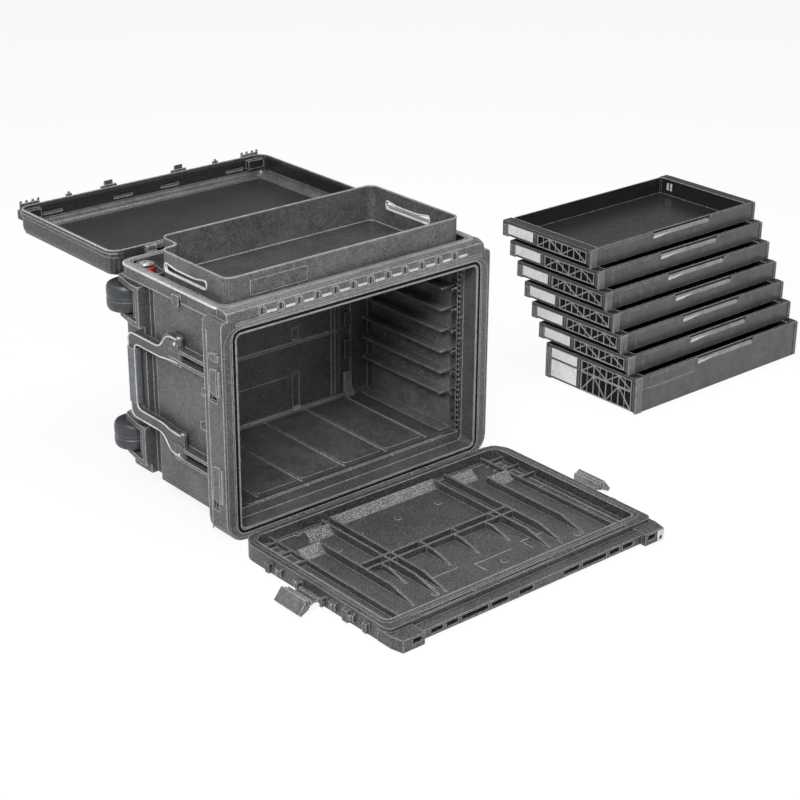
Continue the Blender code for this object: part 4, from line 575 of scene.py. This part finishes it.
# case: the toothed strips beside the runners, with their screws, holes and rivets
ledgePitch = 43.4
tooth = dict(root=266.5, tip=271.5, half=3.2, y=(18.4, 21), low=52, count=31, pitch=10.85)
screw = dict(x=275, y=19.4, radius=2.1, depth=1.6, sides=12, low=66, count=8)
hole = dict(x=259, y=22.2, rise=8, radius=2.6, depth=1.4, sides=12, low=82, count=7)
rivet = dict(x=265.9, radius=1.5, depth=1.4, sides=10, near=66, low=95, columns=4, step=58, rows=7)
for side, name in bothSides:
    bm = bmesh.new()
    corners = ((tooth["root"], -tooth["half"]), (tooth["root"], tooth["half"]), (tooth["tip"], 0))
    addHull(bm, [(side * x, y, z) for x, z in corners for y in tooth["y"]])
    makeRepeat(f"strip_teeth_{name}", unitObject("tooth", bm), "sealRubberAndShade", "case", (0, 0, tooth["low"]),
               along=(tooth["count"], (0, 0, tooth["pitch"])))
    bm = bmesh.new()
    addDisc(bm, (side * screw["x"], screw["y"], 0), "Y", screw)
    makeRepeat(f"strip_screws_{name}", unitObject("screw", bm), "steel", "case", (0, 0, screw["low"]),
               along=(screw["count"], (0, 0, ledgePitch)), bevel=0.4)
    # painted shade: near-black discs standing in for the shaded holes in the strips
    bm = bmesh.new()
    for z in (-hole["rise"], hole["rise"]):
        addDisc(bm, (side * hole["x"], hole["y"], z), "Y", hole)
    makeRepeat(f"strip_holes_{name}", unitObject("hole", bm), "sealRubberAndShade", "case", (0, 0, hole["low"]),
               along=(hole["count"], (0, 0, ledgePitch)), bevel=0.3)
    bm = bmesh.new()
    addDisc(bm, (side * rivet["x"], 0, 0), "X", rivet)
    makeRepeat(f"runner_rivets_{name}", unitObject("rivet", bm), "steel", "case",
               (0, rivet["near"], rivet["low"]), across=(rivet["columns"], (0, rivet["step"], 0)),
               along=(rivet["rows"], (0, 0, ledgePitch)), bevel=0.3)
print("frame done")

# case: floor and back wall of the bay
planks = dict(seams=(-205, -102.5, 0, 102.5, 205), gap=(5, 4.2), y=(46, 279), z=(41.4, 43.4), chamfer=5)
near, far = planks["y"]
bm = bmesh.new()
for left, right in zip(planks["seams"], planks["seams"][1:]):
    x0, x1, cut = left + planks["gap"][0], right - planks["gap"][1], planks["chamfer"]
    outline = [(x0, near + cut), (x0 + cut, near), (x1 - cut, near), (x1, near + cut), (x1, far), (x0, far)]
    addSlab(bm, outline, "Z", *planks["z"])
makePiece("floor_planks", bm, "floorPlastic", "case", bevel=1.1)
frontBand = [((-236, 236), (24, 37), (41.4, 43))]
makePiece("floor_front_band", bricks(frontBand), "framePlastic", "case", bevel=0.8)
cornerStrips = [((206, 222), (294.5, 299.8), z) for z in ((125, 166), (196, 226), (258, 300), (330, 372))]
makePiece("rear_corner_strips", bricks(cornerStrips), "framePlastic", "case", bevel=1.2)
bracket = dict(x=(203, 224), side=[(299.8, 96), (293, 96), (293, 64), (289.5, 56), (282, 52), (282, 43),
                                   (299.8, 43)])
bm = bmesh.new()
addSlab(bm, bracket["side"], "X", *bracket["x"])
makePiece("rear_corner_bracket", bm, "satinHighlightPlastic", "case", bevel=1.5)
wallRibs = [((172, 176), (297.5, 300.4), (54, 392)), ((182, 185), (297.5, 300.4), (54, 392)),
            ((-196, 168), (298.6, 300.4), (193.4, 195.4)), ((-196, 62), (299, 300.4), (122, 123.6))]
makePiece("back_wall_ribs", bricks(wallRibs), "beadHighlightPlastic", "case", bevel=0.5)
# painted highlight: a lighter satin strip along the cove where the floor meets the back wall
backCove = dict(x=(-198, 196), centre=(288.2, 53.8), radius=12, corner=(300.8, 41.2))
turns = [math.radians(a) for a in range(0, 91, 15)]
(y, z), radius = backCove["centre"], backCove["radius"]
bm = bmesh.new()
addSlab(bm, [(y + radius * math.sin(t), z - radius * math.cos(t)) for t in turns] + [backCove["corner"]],
        "X", *backCove["x"])
makePiece("floor_back_cove", bm, "satinHighlightPlastic", "case", smooth=50)
wallDisc = dict(centre=(-118, 299.9, 285), radius=8, depth=0.8, sides=24)
bm = bmesh.new()
addDisc(bm, wallDisc["centre"], "Y", wallDisc)
makePiece("back_wall_disc", bm, "casePlastic", "case", bevel=0.3)
print("bay done")

# case: small things on the left and right sides
rimCatch = [((297.4, 302.4), (124, 144), (415, 427)), ((297.4, 304), (127, 141), (411, 418))]
edgeLips = [((311, 317), (-11, -7.5), z) for z in ((354, 366), (288, 336), (80, 148))]
edgeLips.append(((311.6, 313.2), (26, 29), (18, 404)))
# painted shade: near-black plates and bars in the frame's side slots, standing in for their shade
slotBacks = []
for y, z, middle in (((4, 22), (274, 298), 286), ((10, 22), (63, 93), 78)):
    slotBacks += [((306.2, 307.2), y, z), ((306.4, 311), y, around(middle, 1.2))]
for side, name in bothSides:
    makePiece(f"rim_catch_{name}", bricks(rimCatch, side), "framePlastic", "case", bevel=1)
    makePiece(f"frame_edge_lips_{name}", bricks(edgeLips, side), "beadHighlightPlastic", "case", bevel=0.7)
    makePiece(f"frame_slot_backs_{name}", bricks(slotBacks, side), "sealRubberAndShade", "case", bevel=0.4)

# carry handles: beads along both edges, and the bosses at their pins
handle = dict(outer=((126, 352.5), (158, 352.5), (183, 321), (286.4, 321), (286.4, 152), (183, 152),
                     (158, 122.5), (126, 122.5)),
              inner=((126, 308), (160, 306), (181, 302.6), (267.5, 302.6), (267.5, 171), (181, 171),
                     (160, 165), (126, 164)),
              x=309.6, corner=16, radius=1.5)
boss = dict(x=310.2, y=131, heights=(338, 136), radius=12, depth=4.4, sides=32, webX=(308.6, 311.4),
            webY=(131, 160), webHalf=8)
bossPin = dict(x=312.6, y=129, heights=(345, 127.5), radius=3.4, depth=2.6, sides=20)
for side, name in bothSides:
    body = name + "_handle"
    paths = [[(side * handle["x"], y, z) for y, z in roundPath(handle[edge], handle["corner"], steps=6)]
             for edge in ("outer", "inner")]
    makeWire(f"handle_beads_{name}", paths, handle["radius"], "highlightPlastic", body, closed=False)
    bm = bmesh.new()
    for z in boss["heights"]:
        addDisc(bm, (side * boss["x"], boss["y"], z), "X", boss)
        addBrick(bm, [side * x for x in boss["webX"]], boss["webY"], around(z, boss["webHalf"]))
    makePiece(f"handle_bosses_{name}", bm, "framePlastic", body, bevel=1.6, steps=3)
    bm = bmesh.new()
    for z in bossPin["heights"]:
        addDisc(bm, (side * bossPin["x"], bossPin["y"], z), "X", bossPin)
    makePiece(f"handle_boss_pins_{name}", bm, "steel", body, bevel=0.8)
print("handles done")

# wheels, turned about their upright axles; half is (radius, height) from the middle plane up
wheel = dict(centre=(-280, 331), heights={"lower": 93, "upper": 372},
             half=((9, 21), (15, 21.6), (17, 23), (27, 25.2), (31.5, 25.6), (35, 23.8), (37.2, 20),
                   (38, 14.5), (38, 4.2), (37.4, 3.4)))
hub = dict(rise=20.4, radius=8.6, depth=3.2, sides=24)
for name, z in wheel["heights"].items():
    profile = [(r, -h) for r, h in wheel["half"]] + [(r, h) for r, h in reversed(wheel["half"])]
    tyre = makeLathe(f"wheel_tyre_{name}", profile, (*wheel["centre"], z), "wheelRubber", f"{name}_wheel")
    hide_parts(f"wheel_{name}")
    bm = bmesh.new()
    for rise in (-hub["rise"], hub["rise"]):
        addDisc(bm, (*wheel["centre"], z + rise), "Z", hub)
    makePiece(f"wheel_hub_{name}", bm, "framePlastic", f"{name}_wheel", bevel=0.6)
print("wheels done")

# tray: beads on its rim, round its floor and round both hand holes
tray = dict(x=(-272, 268), y=(20, 283), notch=(-233, 225))
trayRim = dict(inset=1.5, corner=18, z=487.2, radius=1.7)
trayFloor = dict(inset=3.5, corner=15, z=416.3, radius=1.1)
handHole = dict(outline=((105, 449.8), (235, 449.8), (235, 467.8), (200, 461.8), (140, 461.8), (105, 467.8)),
                corner=9, radius=1.7, inner=3.4, ends=((-1, "left", -272.2, -25), (1, "right", 268.2, 0)))
trayPanel = dict(outline=((-222, 447), (-97, 447), (-97, 474), (-222, 474)), y=19.9, corner=3, radius=0.45)
for name, line in (("tray_rim_bead", trayRim), ("tray_floor_line", trayFloor)):
    (x0, x1), (y0, y1), (notchX, notchY), w = tray["x"], tray["y"], tray["notch"], line["inset"]
    outline = [(x0 + w, y0 + w), (x1 - w, y0 + w), (x1 - w, y1 - w), (notchX + w, y1 - w),
               (notchX + w, notchY - w), (x0 + w, notchY - w)]
    path = [(x, y, line["z"]) for x, y in roundPath(outline, line["corner"], closed=True, steps=6)]
    makeWire(name, [path], line["radius"], "satinHighlightPlastic", "tray")
for side, name, x, shift in handHole["ends"]:
    for face, offset in (("outer", 0), ("inner", -side * handHole["inner"])):
        ring = roundPath(handHole["outline"], handHole["corner"], closed=True, steps=5)
        makeWire(f"tray_hole_bead_{name}_{face}", [[(x + offset, y + shift, z) for y, z in ring]],
                 handHole["radius"], "highlightPlastic", "tray")
path = [(x, trayPanel["y"], z) for x, z in roundPath(trayPanel["outline"], trayPanel["corner"], closed=True)]
makeWire("tray_panel_line", [path], trayPanel["radius"], "trayPlastic", "tray")
print("tray done")

# pressure valve beside the tray: a steel face with three crossing bars, in a red ring
valve = dict(centre=(-262, 291), face=440.6, radius=12.5, depth=1.6, sides=36, bars=3, barReach=8,
             barHalf=0.14, barZ=(441, 442.4), ring=17.4, ringZ=434.2, ringWire=1.5)
cx, cy = valve["centre"]
bm = bmesh.new()
addDisc(bm, (cx, cy, valve["face"]), "Z", valve)
for k in range(valve["bars"]):
    t = math.radians(180 / valve["bars"] * k)
    bar = Vector((math.cos(t), math.sin(t), 0)) * valve["barReach"]
    addHull(bm, [(cx + bar.x * a + bar.y * b, cy + bar.y * a - bar.x * b, z) for a in (-1, 1)
                 for b in (-valve["barHalf"], valve["barHalf"]) for z in valve["barZ"]])
makePiece("valve_face", bm, "steel", "case", bevel=0.4)
turns = [math.radians(a) for a in range(0, 360, 10)]
path = [(cx + valve["ring"] * math.cos(t), cy + valve["ring"] * math.sin(t), valve["ringZ"]) for t in turns]
makeWire("valve_ring", [path], valve["ringWire"], "valveRed", "case")

# lid: a hollow fillet round the foot of its well, as profile points of (inset, rise)
lidCove = dict(x=(-294, 294), y=(349, 686), corner=21, floor=406.1, radius=17, steps=6, sunk=0.1, foot=0.5)
(x0, x1), (y0, y1), radius, sunk = lidCove["x"], lidCove["y"], lidCove["radius"], lidCove["sunk"]
turns = [math.radians(90 * i / lidCove["steps"]) for i in range(lidCove["steps"] + 1)]
section = [(radius * (1 - math.cos(t)) - sunk, radius * (1 - math.sin(t)) - sunk) for t in turns]
section.append((-lidCove["foot"], -lidCove["foot"]))
bm, rings = bmesh.new(), []
for inset, rise in section:
    loop = ringPath((x0 + inset, x1 - inset), (y0 + inset, y1 - inset), max(lidCove["corner"] - inset, 1))
    rings.append([bm.verts.new(Vector((*spot, lidCove["floor"] + rise)) * mm) for spot in loop])
joinRings(bm, rings)
makePiece("lid_cove", bm, "coveGloss", "lid", smooth=50)
lidBead = dict(x=(-297.3, 297.3), y=(347, 689), corner=24, z=452.6, radius=1.1)
makeRingBead("lid_rim_bead_1", lidBead, "highlightPlastic", "lid")
lowBead = dict(x=(-297.7, 297.7), y=(346.6, 689.4), corner=24, z=444, radius=1.3, behind=362)
makeRingBead("lid_rim_bead_2", lowBead, "beadHighlightPlastic", "lid")
# painted shade: near-black strips standing in for the shaded slits along the lid's back
lidSlits = [(around(x, 16), (685.2, 686.6), (434.6, 436)) for x in (-222, -57, 57, 222)]
makePiece("lid_slits", bricks(lidSlits), "sealRubberAndShade", "lid", bevel=0.3)

# lid: nubs, tongues and corner combs on its far edge; boxes are (half width, y, z), tips are (y, z)
catches = dict(nubs=(-178, 178), tongues=(-85, 85), combs=(-267, 267),
               nub=((11, (690, 698), (440, 451)), (7, (693.4, 696.4), (450, 457)),
                    (2.5, (693.2, 696.6), (450, 461))),
               tongue=(19, (693.3, 696.5), (438, 457)), comb=(22, (693.2, 696.3), (440, 457)),
               tip=((693.2, 446), (696.7, 446), (696.7, 465), (694.2, 467)), tipHalf=10,
               combTooth=((693, 440), (696.6, 440), (696.6, 460), (694.2, 463)),
               toothAt=(-22, -9, 5, 17), toothWide=5)
bm = bmesh.new()
for x in catches["nubs"]:
    for half, y, z in catches["nub"]:
        addBrick(bm, around(x, half), y, z)
for x in catches["tongues"]:
    half, y, z = catches["tongue"]
    addBrick(bm, around(x, half), y, z)
    addHull(bm, [(x + a, y, z) for a in (-catches["tipHalf"], catches["tipHalf"]) for y, z in catches["tip"]])
for x in catches["combs"]:
    half, y, z = catches["comb"]
    addBrick(bm, around(x, half), y, z)
    for a in catches["toothAt"]:
        addHull(bm, [(x + a + b, y, z) for b in (0, catches["toothWide"]) for y, z in catches["combTooth"]])
makePiece("lid_edge_catches", bm, "framePlastic", "lid", bevel=0.8)
print("lid done")

# door, lying open: beads round its seal and pan, then the small forms in and round the pan
doorBeads = (dict(x=(-303.5, 303.5), y=(-447, -55), corner=16, z=30.15, radius=1),
             dict(x=(-294, 294), y=(-437, -65), corner=10, z=30.05, radius=1),
             dict(x=(-284.6, 284.6), y=(-428, -74), corner=6, z=9.3, radius=0.9))
for i, bead in enumerate(doorBeads):
    makeRingBead(f"door_bead_{i + 1}", bead, "beadHighlightPlastic", "door")
discs = dict(spots=((-110, -142), (-20, -142), (78, -142), (-180, -168), (-276, -208), (-276, -308),
                    (-200, -73), (200, -73), (-275, -86), (276, -210), (20, -385), (-150, -395),
                    (190, -396), (276, -330)),
             z=9.2, radius=7.5, top=6.9, depth=1.3, sides=28)
bm = bmesh.new()
for x, y in discs["spots"]:
    addDisc(bm, (x, y, discs["z"]), "Z", discs)
makePiece("door_ejector_discs", bm, "framePlastic", "door", bevel=0.3)
lugs = dict(spots={-1: (-171, -225, -322, -370), 1: (-144, -210, -262, -354, -409)}, half=9,
            section=((311.5, 6), (317.5, 8), (318.5, 20), (311.5, 24)),
            rib=(312, 321), ribHalf=2, ribZ=(9, 19))
bm = bmesh.new()
for side, spots in lugs["spots"].items():
    for y in spots:
        addHull(bm, [(side * x, y + a, z) for a in (-lugs["half"], lugs["half"]) for x, z in lugs["section"]])
        addBrick(bm, [side * x for x in lugs["rib"]], around(y, lugs["ribHalf"]), lugs["ribZ"])
makePiece("door_side_lugs", bm, "framePlastic", "door", bevel=0.8)
panRibs = dict(rungs=(-92, -112, -132, -160), rungX=(246, 284), rungHalf=1, stile=(256, 258),
               stileY=(-160, -92), sideZ=(8.6, 12.5), hookHalf=0.8, shank=(1.6, 30), hookZ=(8.6, 11),
               hooks=((-140, -60, -352), (-30, 60, -362), (90, 160, -352)))
boxes = []
for side in (-1, 1):
    boxes += [([side * x for x in panRibs["rungX"]], around(y, panRibs["rungHalf"]), panRibs["sideZ"])
              for y in panRibs["rungs"]]
    boxes.append(([side * x for x in panRibs["stile"]], panRibs["stileY"], panRibs["sideZ"]))
for x0, x1, y in panRibs["hooks"]:
    width, length = panRibs["shank"]
    boxes += [((x0, x1), around(y, panRibs["hookHalf"]), panRibs["hookZ"]),
              ((x0, x0 + width), (y - length, y), panRibs["hookZ"])]
makePiece("door_low_ribs", bricks(boxes), "beadHighlightPlastic", "door", bevel=0.4)
railNubs = dict(spots=(-186, -90, 0, 92, 188), half=8, y=(-462.5, -455), z=(26.6, 28),
                button=(-458.5, 28.2), radius=3, depth=1.8, sides=20,
                rail=((-258, 258), (-452.5, -450.8), (29, 31.15)))
bm = bmesh.new()
for x in railNubs["spots"]:
    addBrick(bm, around(x, railNubs["half"]), railNubs["y"], railNubs["z"])
    addDisc(bm, (x, *railNubs["button"]), "Z", railNubs)
addBrick(bm, *railNubs["rail"])
makePiece("door_rail_nubs", bm, "framePlastic", "door", bevel=0.6)
print("door done")

# latches: three upright blades and a plate on each lever
blades = dict(spots=((342, 25), (348, 27), (353.5, 29)), y=(-300, -236), foot=15.5, footX=(-1.3, 1.3),
              topX=(2.6, 0.8))
leverPlate = dict(y=(-303, -233), section=((356, 29), (373, 8), (368, 3), (350, 12)))
for side, name in bothSides:
    bm = bmesh.new()
    for x, top in blades["spots"]:
        section = [(x + a, blades["foot"]) for a in blades["footX"]] + [(x + a, top) for a in blades["topX"]]
        addHull(bm, [(side * x, y, z) for y in blades["y"] for x, z in section])
    makePiece(f"lever_blades_{name}", bm, "beadHighlightPlastic", f"{name}_lever", bevel=0.5)
    bm = bmesh.new()
    addHull(bm, [(side * x, y, z) for y in leverPlate["y"] for x, z in leverPlate["section"]])
    makePiece(f"lever_plate_{name}", bm, "runnerPlastic", f"{name}_lever", bevel=1.2)
print("latches done")

# drawers: y counts back from a drawer's front face; z counts up from its foot, or down from its top below 0
drawer = dict(depth=264, deepFrom=60)
lip = dict(x=(863, 1036), section=((-0.3, -9.2), (-0.3, -14), (2.9, -5.2), (3.2, -14)))
lipEnd = dict(x=860, corners=((1, -0.7, -15.5), (1, -0.5, -9.5), (56, -0.5, -9.5), (22, -0.9, -14.5),
                              (1, 1, -15.5), (56, 1, -9.5)))
sidePad = dict(x=(669.1, 670.4), y=(170, 246), foot=5, top=-1.5)
lattice = dict(y=(13, 157), cells=4, tiers=[(-33, -5.5)], deepTiers=[(-33, -5.5), (3, -31.5)], foot=1.6,
               top=-2.4, post=(1.6, 670.1, 671.1), brace=(1.5, 670.25, 671),
               halfPost=(1.2, 670.35, 671), rail=(1.3, 670.15, 671.05),
               shadeSheetX=(673.1, 674.6), shadeSheetY=(8, 162), shadeSheetSpare=1)
tubRim = dict(x=(695.3, 1165.7), y=(5.4, 258.6), corner=4, drop=0.7, radius=0.9)
grooves = ((1180.6, 1181.8), (691.6, 692.8))
ribs = [(249 + 4.6 * k, 251 + 4.6 * k) for k in range(3)]
slots = ((232, 238), (222, 228))
# small pieces made of boxes: finish, bevel and boxes; they go in before and after the lattices
frontParts = {
    # painted shade: near-black strips standing in for the shaded scoop edge and the grooves near the front's
    # ends
    "scoop_line": ("sealRubberAndShade", 0.2, [((862, 1038), (2.7, 3.4), (-4.6, -2))]),
    "label_panel": ("drawerSatin", 0.3, [((714, 846), (-0.35, 0.4), (-33.6, -5))]),
    "front_grooves": ("sealRubberAndShade", 0.2, [(x, (-0.3, 0.6), (1, -1)) for x in grooves])}
rearParts = {
    "rear_ribs": ("framePlastic", 0.4, [((669, 670.2), y, (5, -8)) for y in ribs]),
    # painted light: pale boxes in the two slots of the tub wall, where light shows through
    "wall_slots": ("highlightPlastic", 0.3, [((1163.9, 1164.8), y, (-26, -9)) for y in slots])}
deepParts = {"step_line": ("runnerPlastic", 0.2, [((690, 850), (-0.5, 0.4), (-30, -28.6))])}


def heights(edges, foot, top):
    return [(foot if z > 0 else top) + z for z in edges]


def makeBoxParts(n, body, parts, front, foot, top):
    for part, (finish, bevel, boxes) in parts.items():
        placed = [(x, shifted(y, front), heights(z, foot, top)) for x, y, z in boxes]
        finish = "satin_" + n if finish == "drawerSatin" else finish
        makePiece(f"{n}_{part}", bricks(placed), finish, body, bevel=bevel)


for n in drawers:
    low, high = boxOf(n)
    body = "deep_drawer" if n == "drawer_deep" else "shallow_" + n
    front, foot, top = high[1] - drawer["depth"], low[2], high[2]
    deep = top - foot > drawer["deepFrom"]
    bm = bmesh.new()
    addHull(bm, [(x, front + y, top + z) for x in lip["x"] for y, z in lip["section"]])
    makePiece(f"{n}_lip", bm, "satinHighlightPlastic", body, bevel=0.5)
    bm = bmesh.new()
    addHull(bm, [(lipEnd["x"] + x, front + y, top + z) for x, y, z in lipEnd["corners"]])
    makePiece(f"{n}_lip_end", bm, "highlightPlastic", body, bevel=0.3)
    makeBoxParts(n, body, frontParts, front, foot, top)
    pads, bars, shadeSheets = bmesh.new(), bmesh.new(), bmesh.new()
    near, far = shifted(lattice["y"], front)
    pitch = (far - near) / lattice["cells"]
    for tier in lattice["deepTiers" if deep else "tiers"]:
        low, high = heights(tier, foot, top)
        addBrick(pads, sidePad["x"], shifted(sidePad["y"], front),
                 (low + sidePad["foot"], high + sidePad["top"]))
        low, high = low + lattice["foot"], high + lattice["top"]
        for k in range(lattice["cells"] + 1):
            y = near + pitch * k
            addBar(bars, (y, low), (y, high), *lattice["post"])
            if k < lattice["cells"]:
                ends = ((y, low), (y + pitch, high)) if k % 2 == 0 else ((y, high), (y + pitch, low))
                addBar(bars, *ends, *lattice["brace"])
                addBar(bars, (y + pitch / 2, low), (y + pitch / 2, high), *lattice["halfPost"])
        for z in (low, high):
            addBar(bars, (near, z), (far, z), *lattice["rail"])
        # painted shade: a black sheet behind the lattice, where the open gap to the tub lies in shade
        addBrick(shadeSheets, lattice["shadeSheetX"], shifted(lattice["shadeSheetY"], front),
                 (low - lattice["shadeSheetSpare"], high + lattice["shadeSheetSpare"]))
    makePiece(f"{n}_side_pads", pads, "padPlastic", body, bevel=0.7)
    makePiece(f"{n}_lattice_bars", bars, "satinHighlightPlastic", body)
    makePiece(f"{n}_lattice_back", shadeSheets, "sealRubberAndShade", body, bevel=0.2)
    makeBoxParts(n, body, rearParts, front, foot, top)
    # a bead round the tub's top edge, toned pale almost wholly by the painted edge highlight
    ring = ringPath(tubRim["x"], shifted(tubRim["y"], front), tubRim["corner"], steps=3)
    path = [(x, y, top - tubRim["drop"]) for x, y in ring]
    makeWire(f"{n}_tub_rim", [path], tubRim["radius"], "framePlastic", body)
    if deep:
        makeBoxParts(n, body, deepParts, front, foot, top)
print("drawers done:", len(drawers))


# the camera, fitted to the photograph
camera = dict(place=(-2.007, -2.476, 1.605), back=(-0.5932, -0.6957, 0.4051), right=(0.7610, -0.6488, 0),
              roll=0.41, lens=84.54, sensor=36, reach=50)
back, right = Vector(camera["back"]).normalized(), Vector(camera["right"]).normalized()
up = back.cross(right)
roll = math.radians(camera["roll"])
across, upward = right * math.cos(roll) + up * math.sin(roll), up * math.cos(roll) - right * math.sin(roll)
lensData = bpy.data.cameras.new("photoCamera")
lensData.lens, lensData.sensor_width, lensData.sensor_fit = camera["lens"], camera["sensor"], "HORIZONTAL"
lensData.clip_end = camera["reach"]
photoCamera = newObject("photoCamera", lensData)
turn = Matrix((across, upward, back)).transposed()
photoCamera.matrix_world = Matrix.Translation(camera["place"]) @ turn.to_4x4()
bpy.context.scene.camera = photoCamera

# a floor that looks white, lights the object from below as paper does, and keeps its shadow
paperFloor = dict(half=9, z=-0.0002, colour=grey(0.86), whiteShare=0.9)
half, z = paperFloor["half"], paperFloor["z"]
floorMesh = bpy.data.meshes.new("floor")
corners = [(-half, -half, z), (half, -half, z), (half, half, z), (-half, half, z)]
floorMesh.from_pydata(corners, [], [(0, 1, 2, 3)])
floor = newObject("floor", floorMesh)
paper, tree = newMaterial("paper")
seen = addNode(tree, "ShaderNodeLightPath").outputs
matt = addNode(tree, "ShaderNodeBsdfDiffuse", {"Color": paperFloor["colour"]})
glow = addNode(tree, "ShaderNodeEmission", {"Color": grey(1), "Strength": 1})
direct = addMath(tree, "MAXIMUM", seen["Is Camera Ray"], seen["Is Glossy Ray"])
share = addMath(tree, "MULTIPLY", direct, paperFloor["whiteShare"])
blend = addNode(tree, "ShaderNodeMixShader", {0: share, 1: matt.outputs["BSDF"], 2: glow.outputs["Emission"]})
tree.links.new(blend.outputs["Shader"], tree.nodes["Material Output"].inputs["Surface"])
floorMesh.materials.append(paper)
floor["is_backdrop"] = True

# a soft world, seen as white by the camera
studio = dict(strength=0.34)
world = bpy.data.worlds.new("studio")
bpy.context.scene.world = world
world.use_nodes = True
tree = world.node_tree
seen = addNode(tree, "ShaderNodeLightPath").outputs
soft = tree.nodes["Background"]
soft.inputs["Color"].default_value = grey(1)
soft.inputs["Strength"].default_value = studio["strength"]
white = addNode(tree, "ShaderNodeBackground", {"Color": grey(1), "Strength": 1})
blend = addNode(tree, "ShaderNodeMixShader", {0: seen["Is Camera Ray"], 1: soft.outputs["Background"],
                                              2: white.outputs["Background"]})
tree.links.new(blend.outputs["Shader"], tree.nodes["World Output"].inputs["Surface"])

lampAim = Vector((0.2, 0, 0.2))
lamps = {"keyLamp": dict(place=(-2.2, -1.6, 2.6), size=(1.6, 1.2), power=112),
         "fillLamp": dict(place=(1.6, -2.8, 1.9), size=(2, 1.4), power=26),
         "topLamp": dict(place=(0.3, 0.6, 3), size=(2.4, 1.6), power=58)}
for name, lamp in lamps.items():
    data = bpy.data.lights.new(name, "AREA")
    data.shape, data.size, data.size_y, data.energy = "RECTANGLE", *lamp["size"], lamp["power"]
    obj = newObject(name, data)
    obj.location = lamp["place"]
    obj.rotation_euler = (Vector(lamp["place"]) - lampAim).to_track_quat("Z", "Y").to_euler()
bpy.context.scene.view_settings.view_transform = "Standard"
print("lamps, floor and camera done")

low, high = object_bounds()
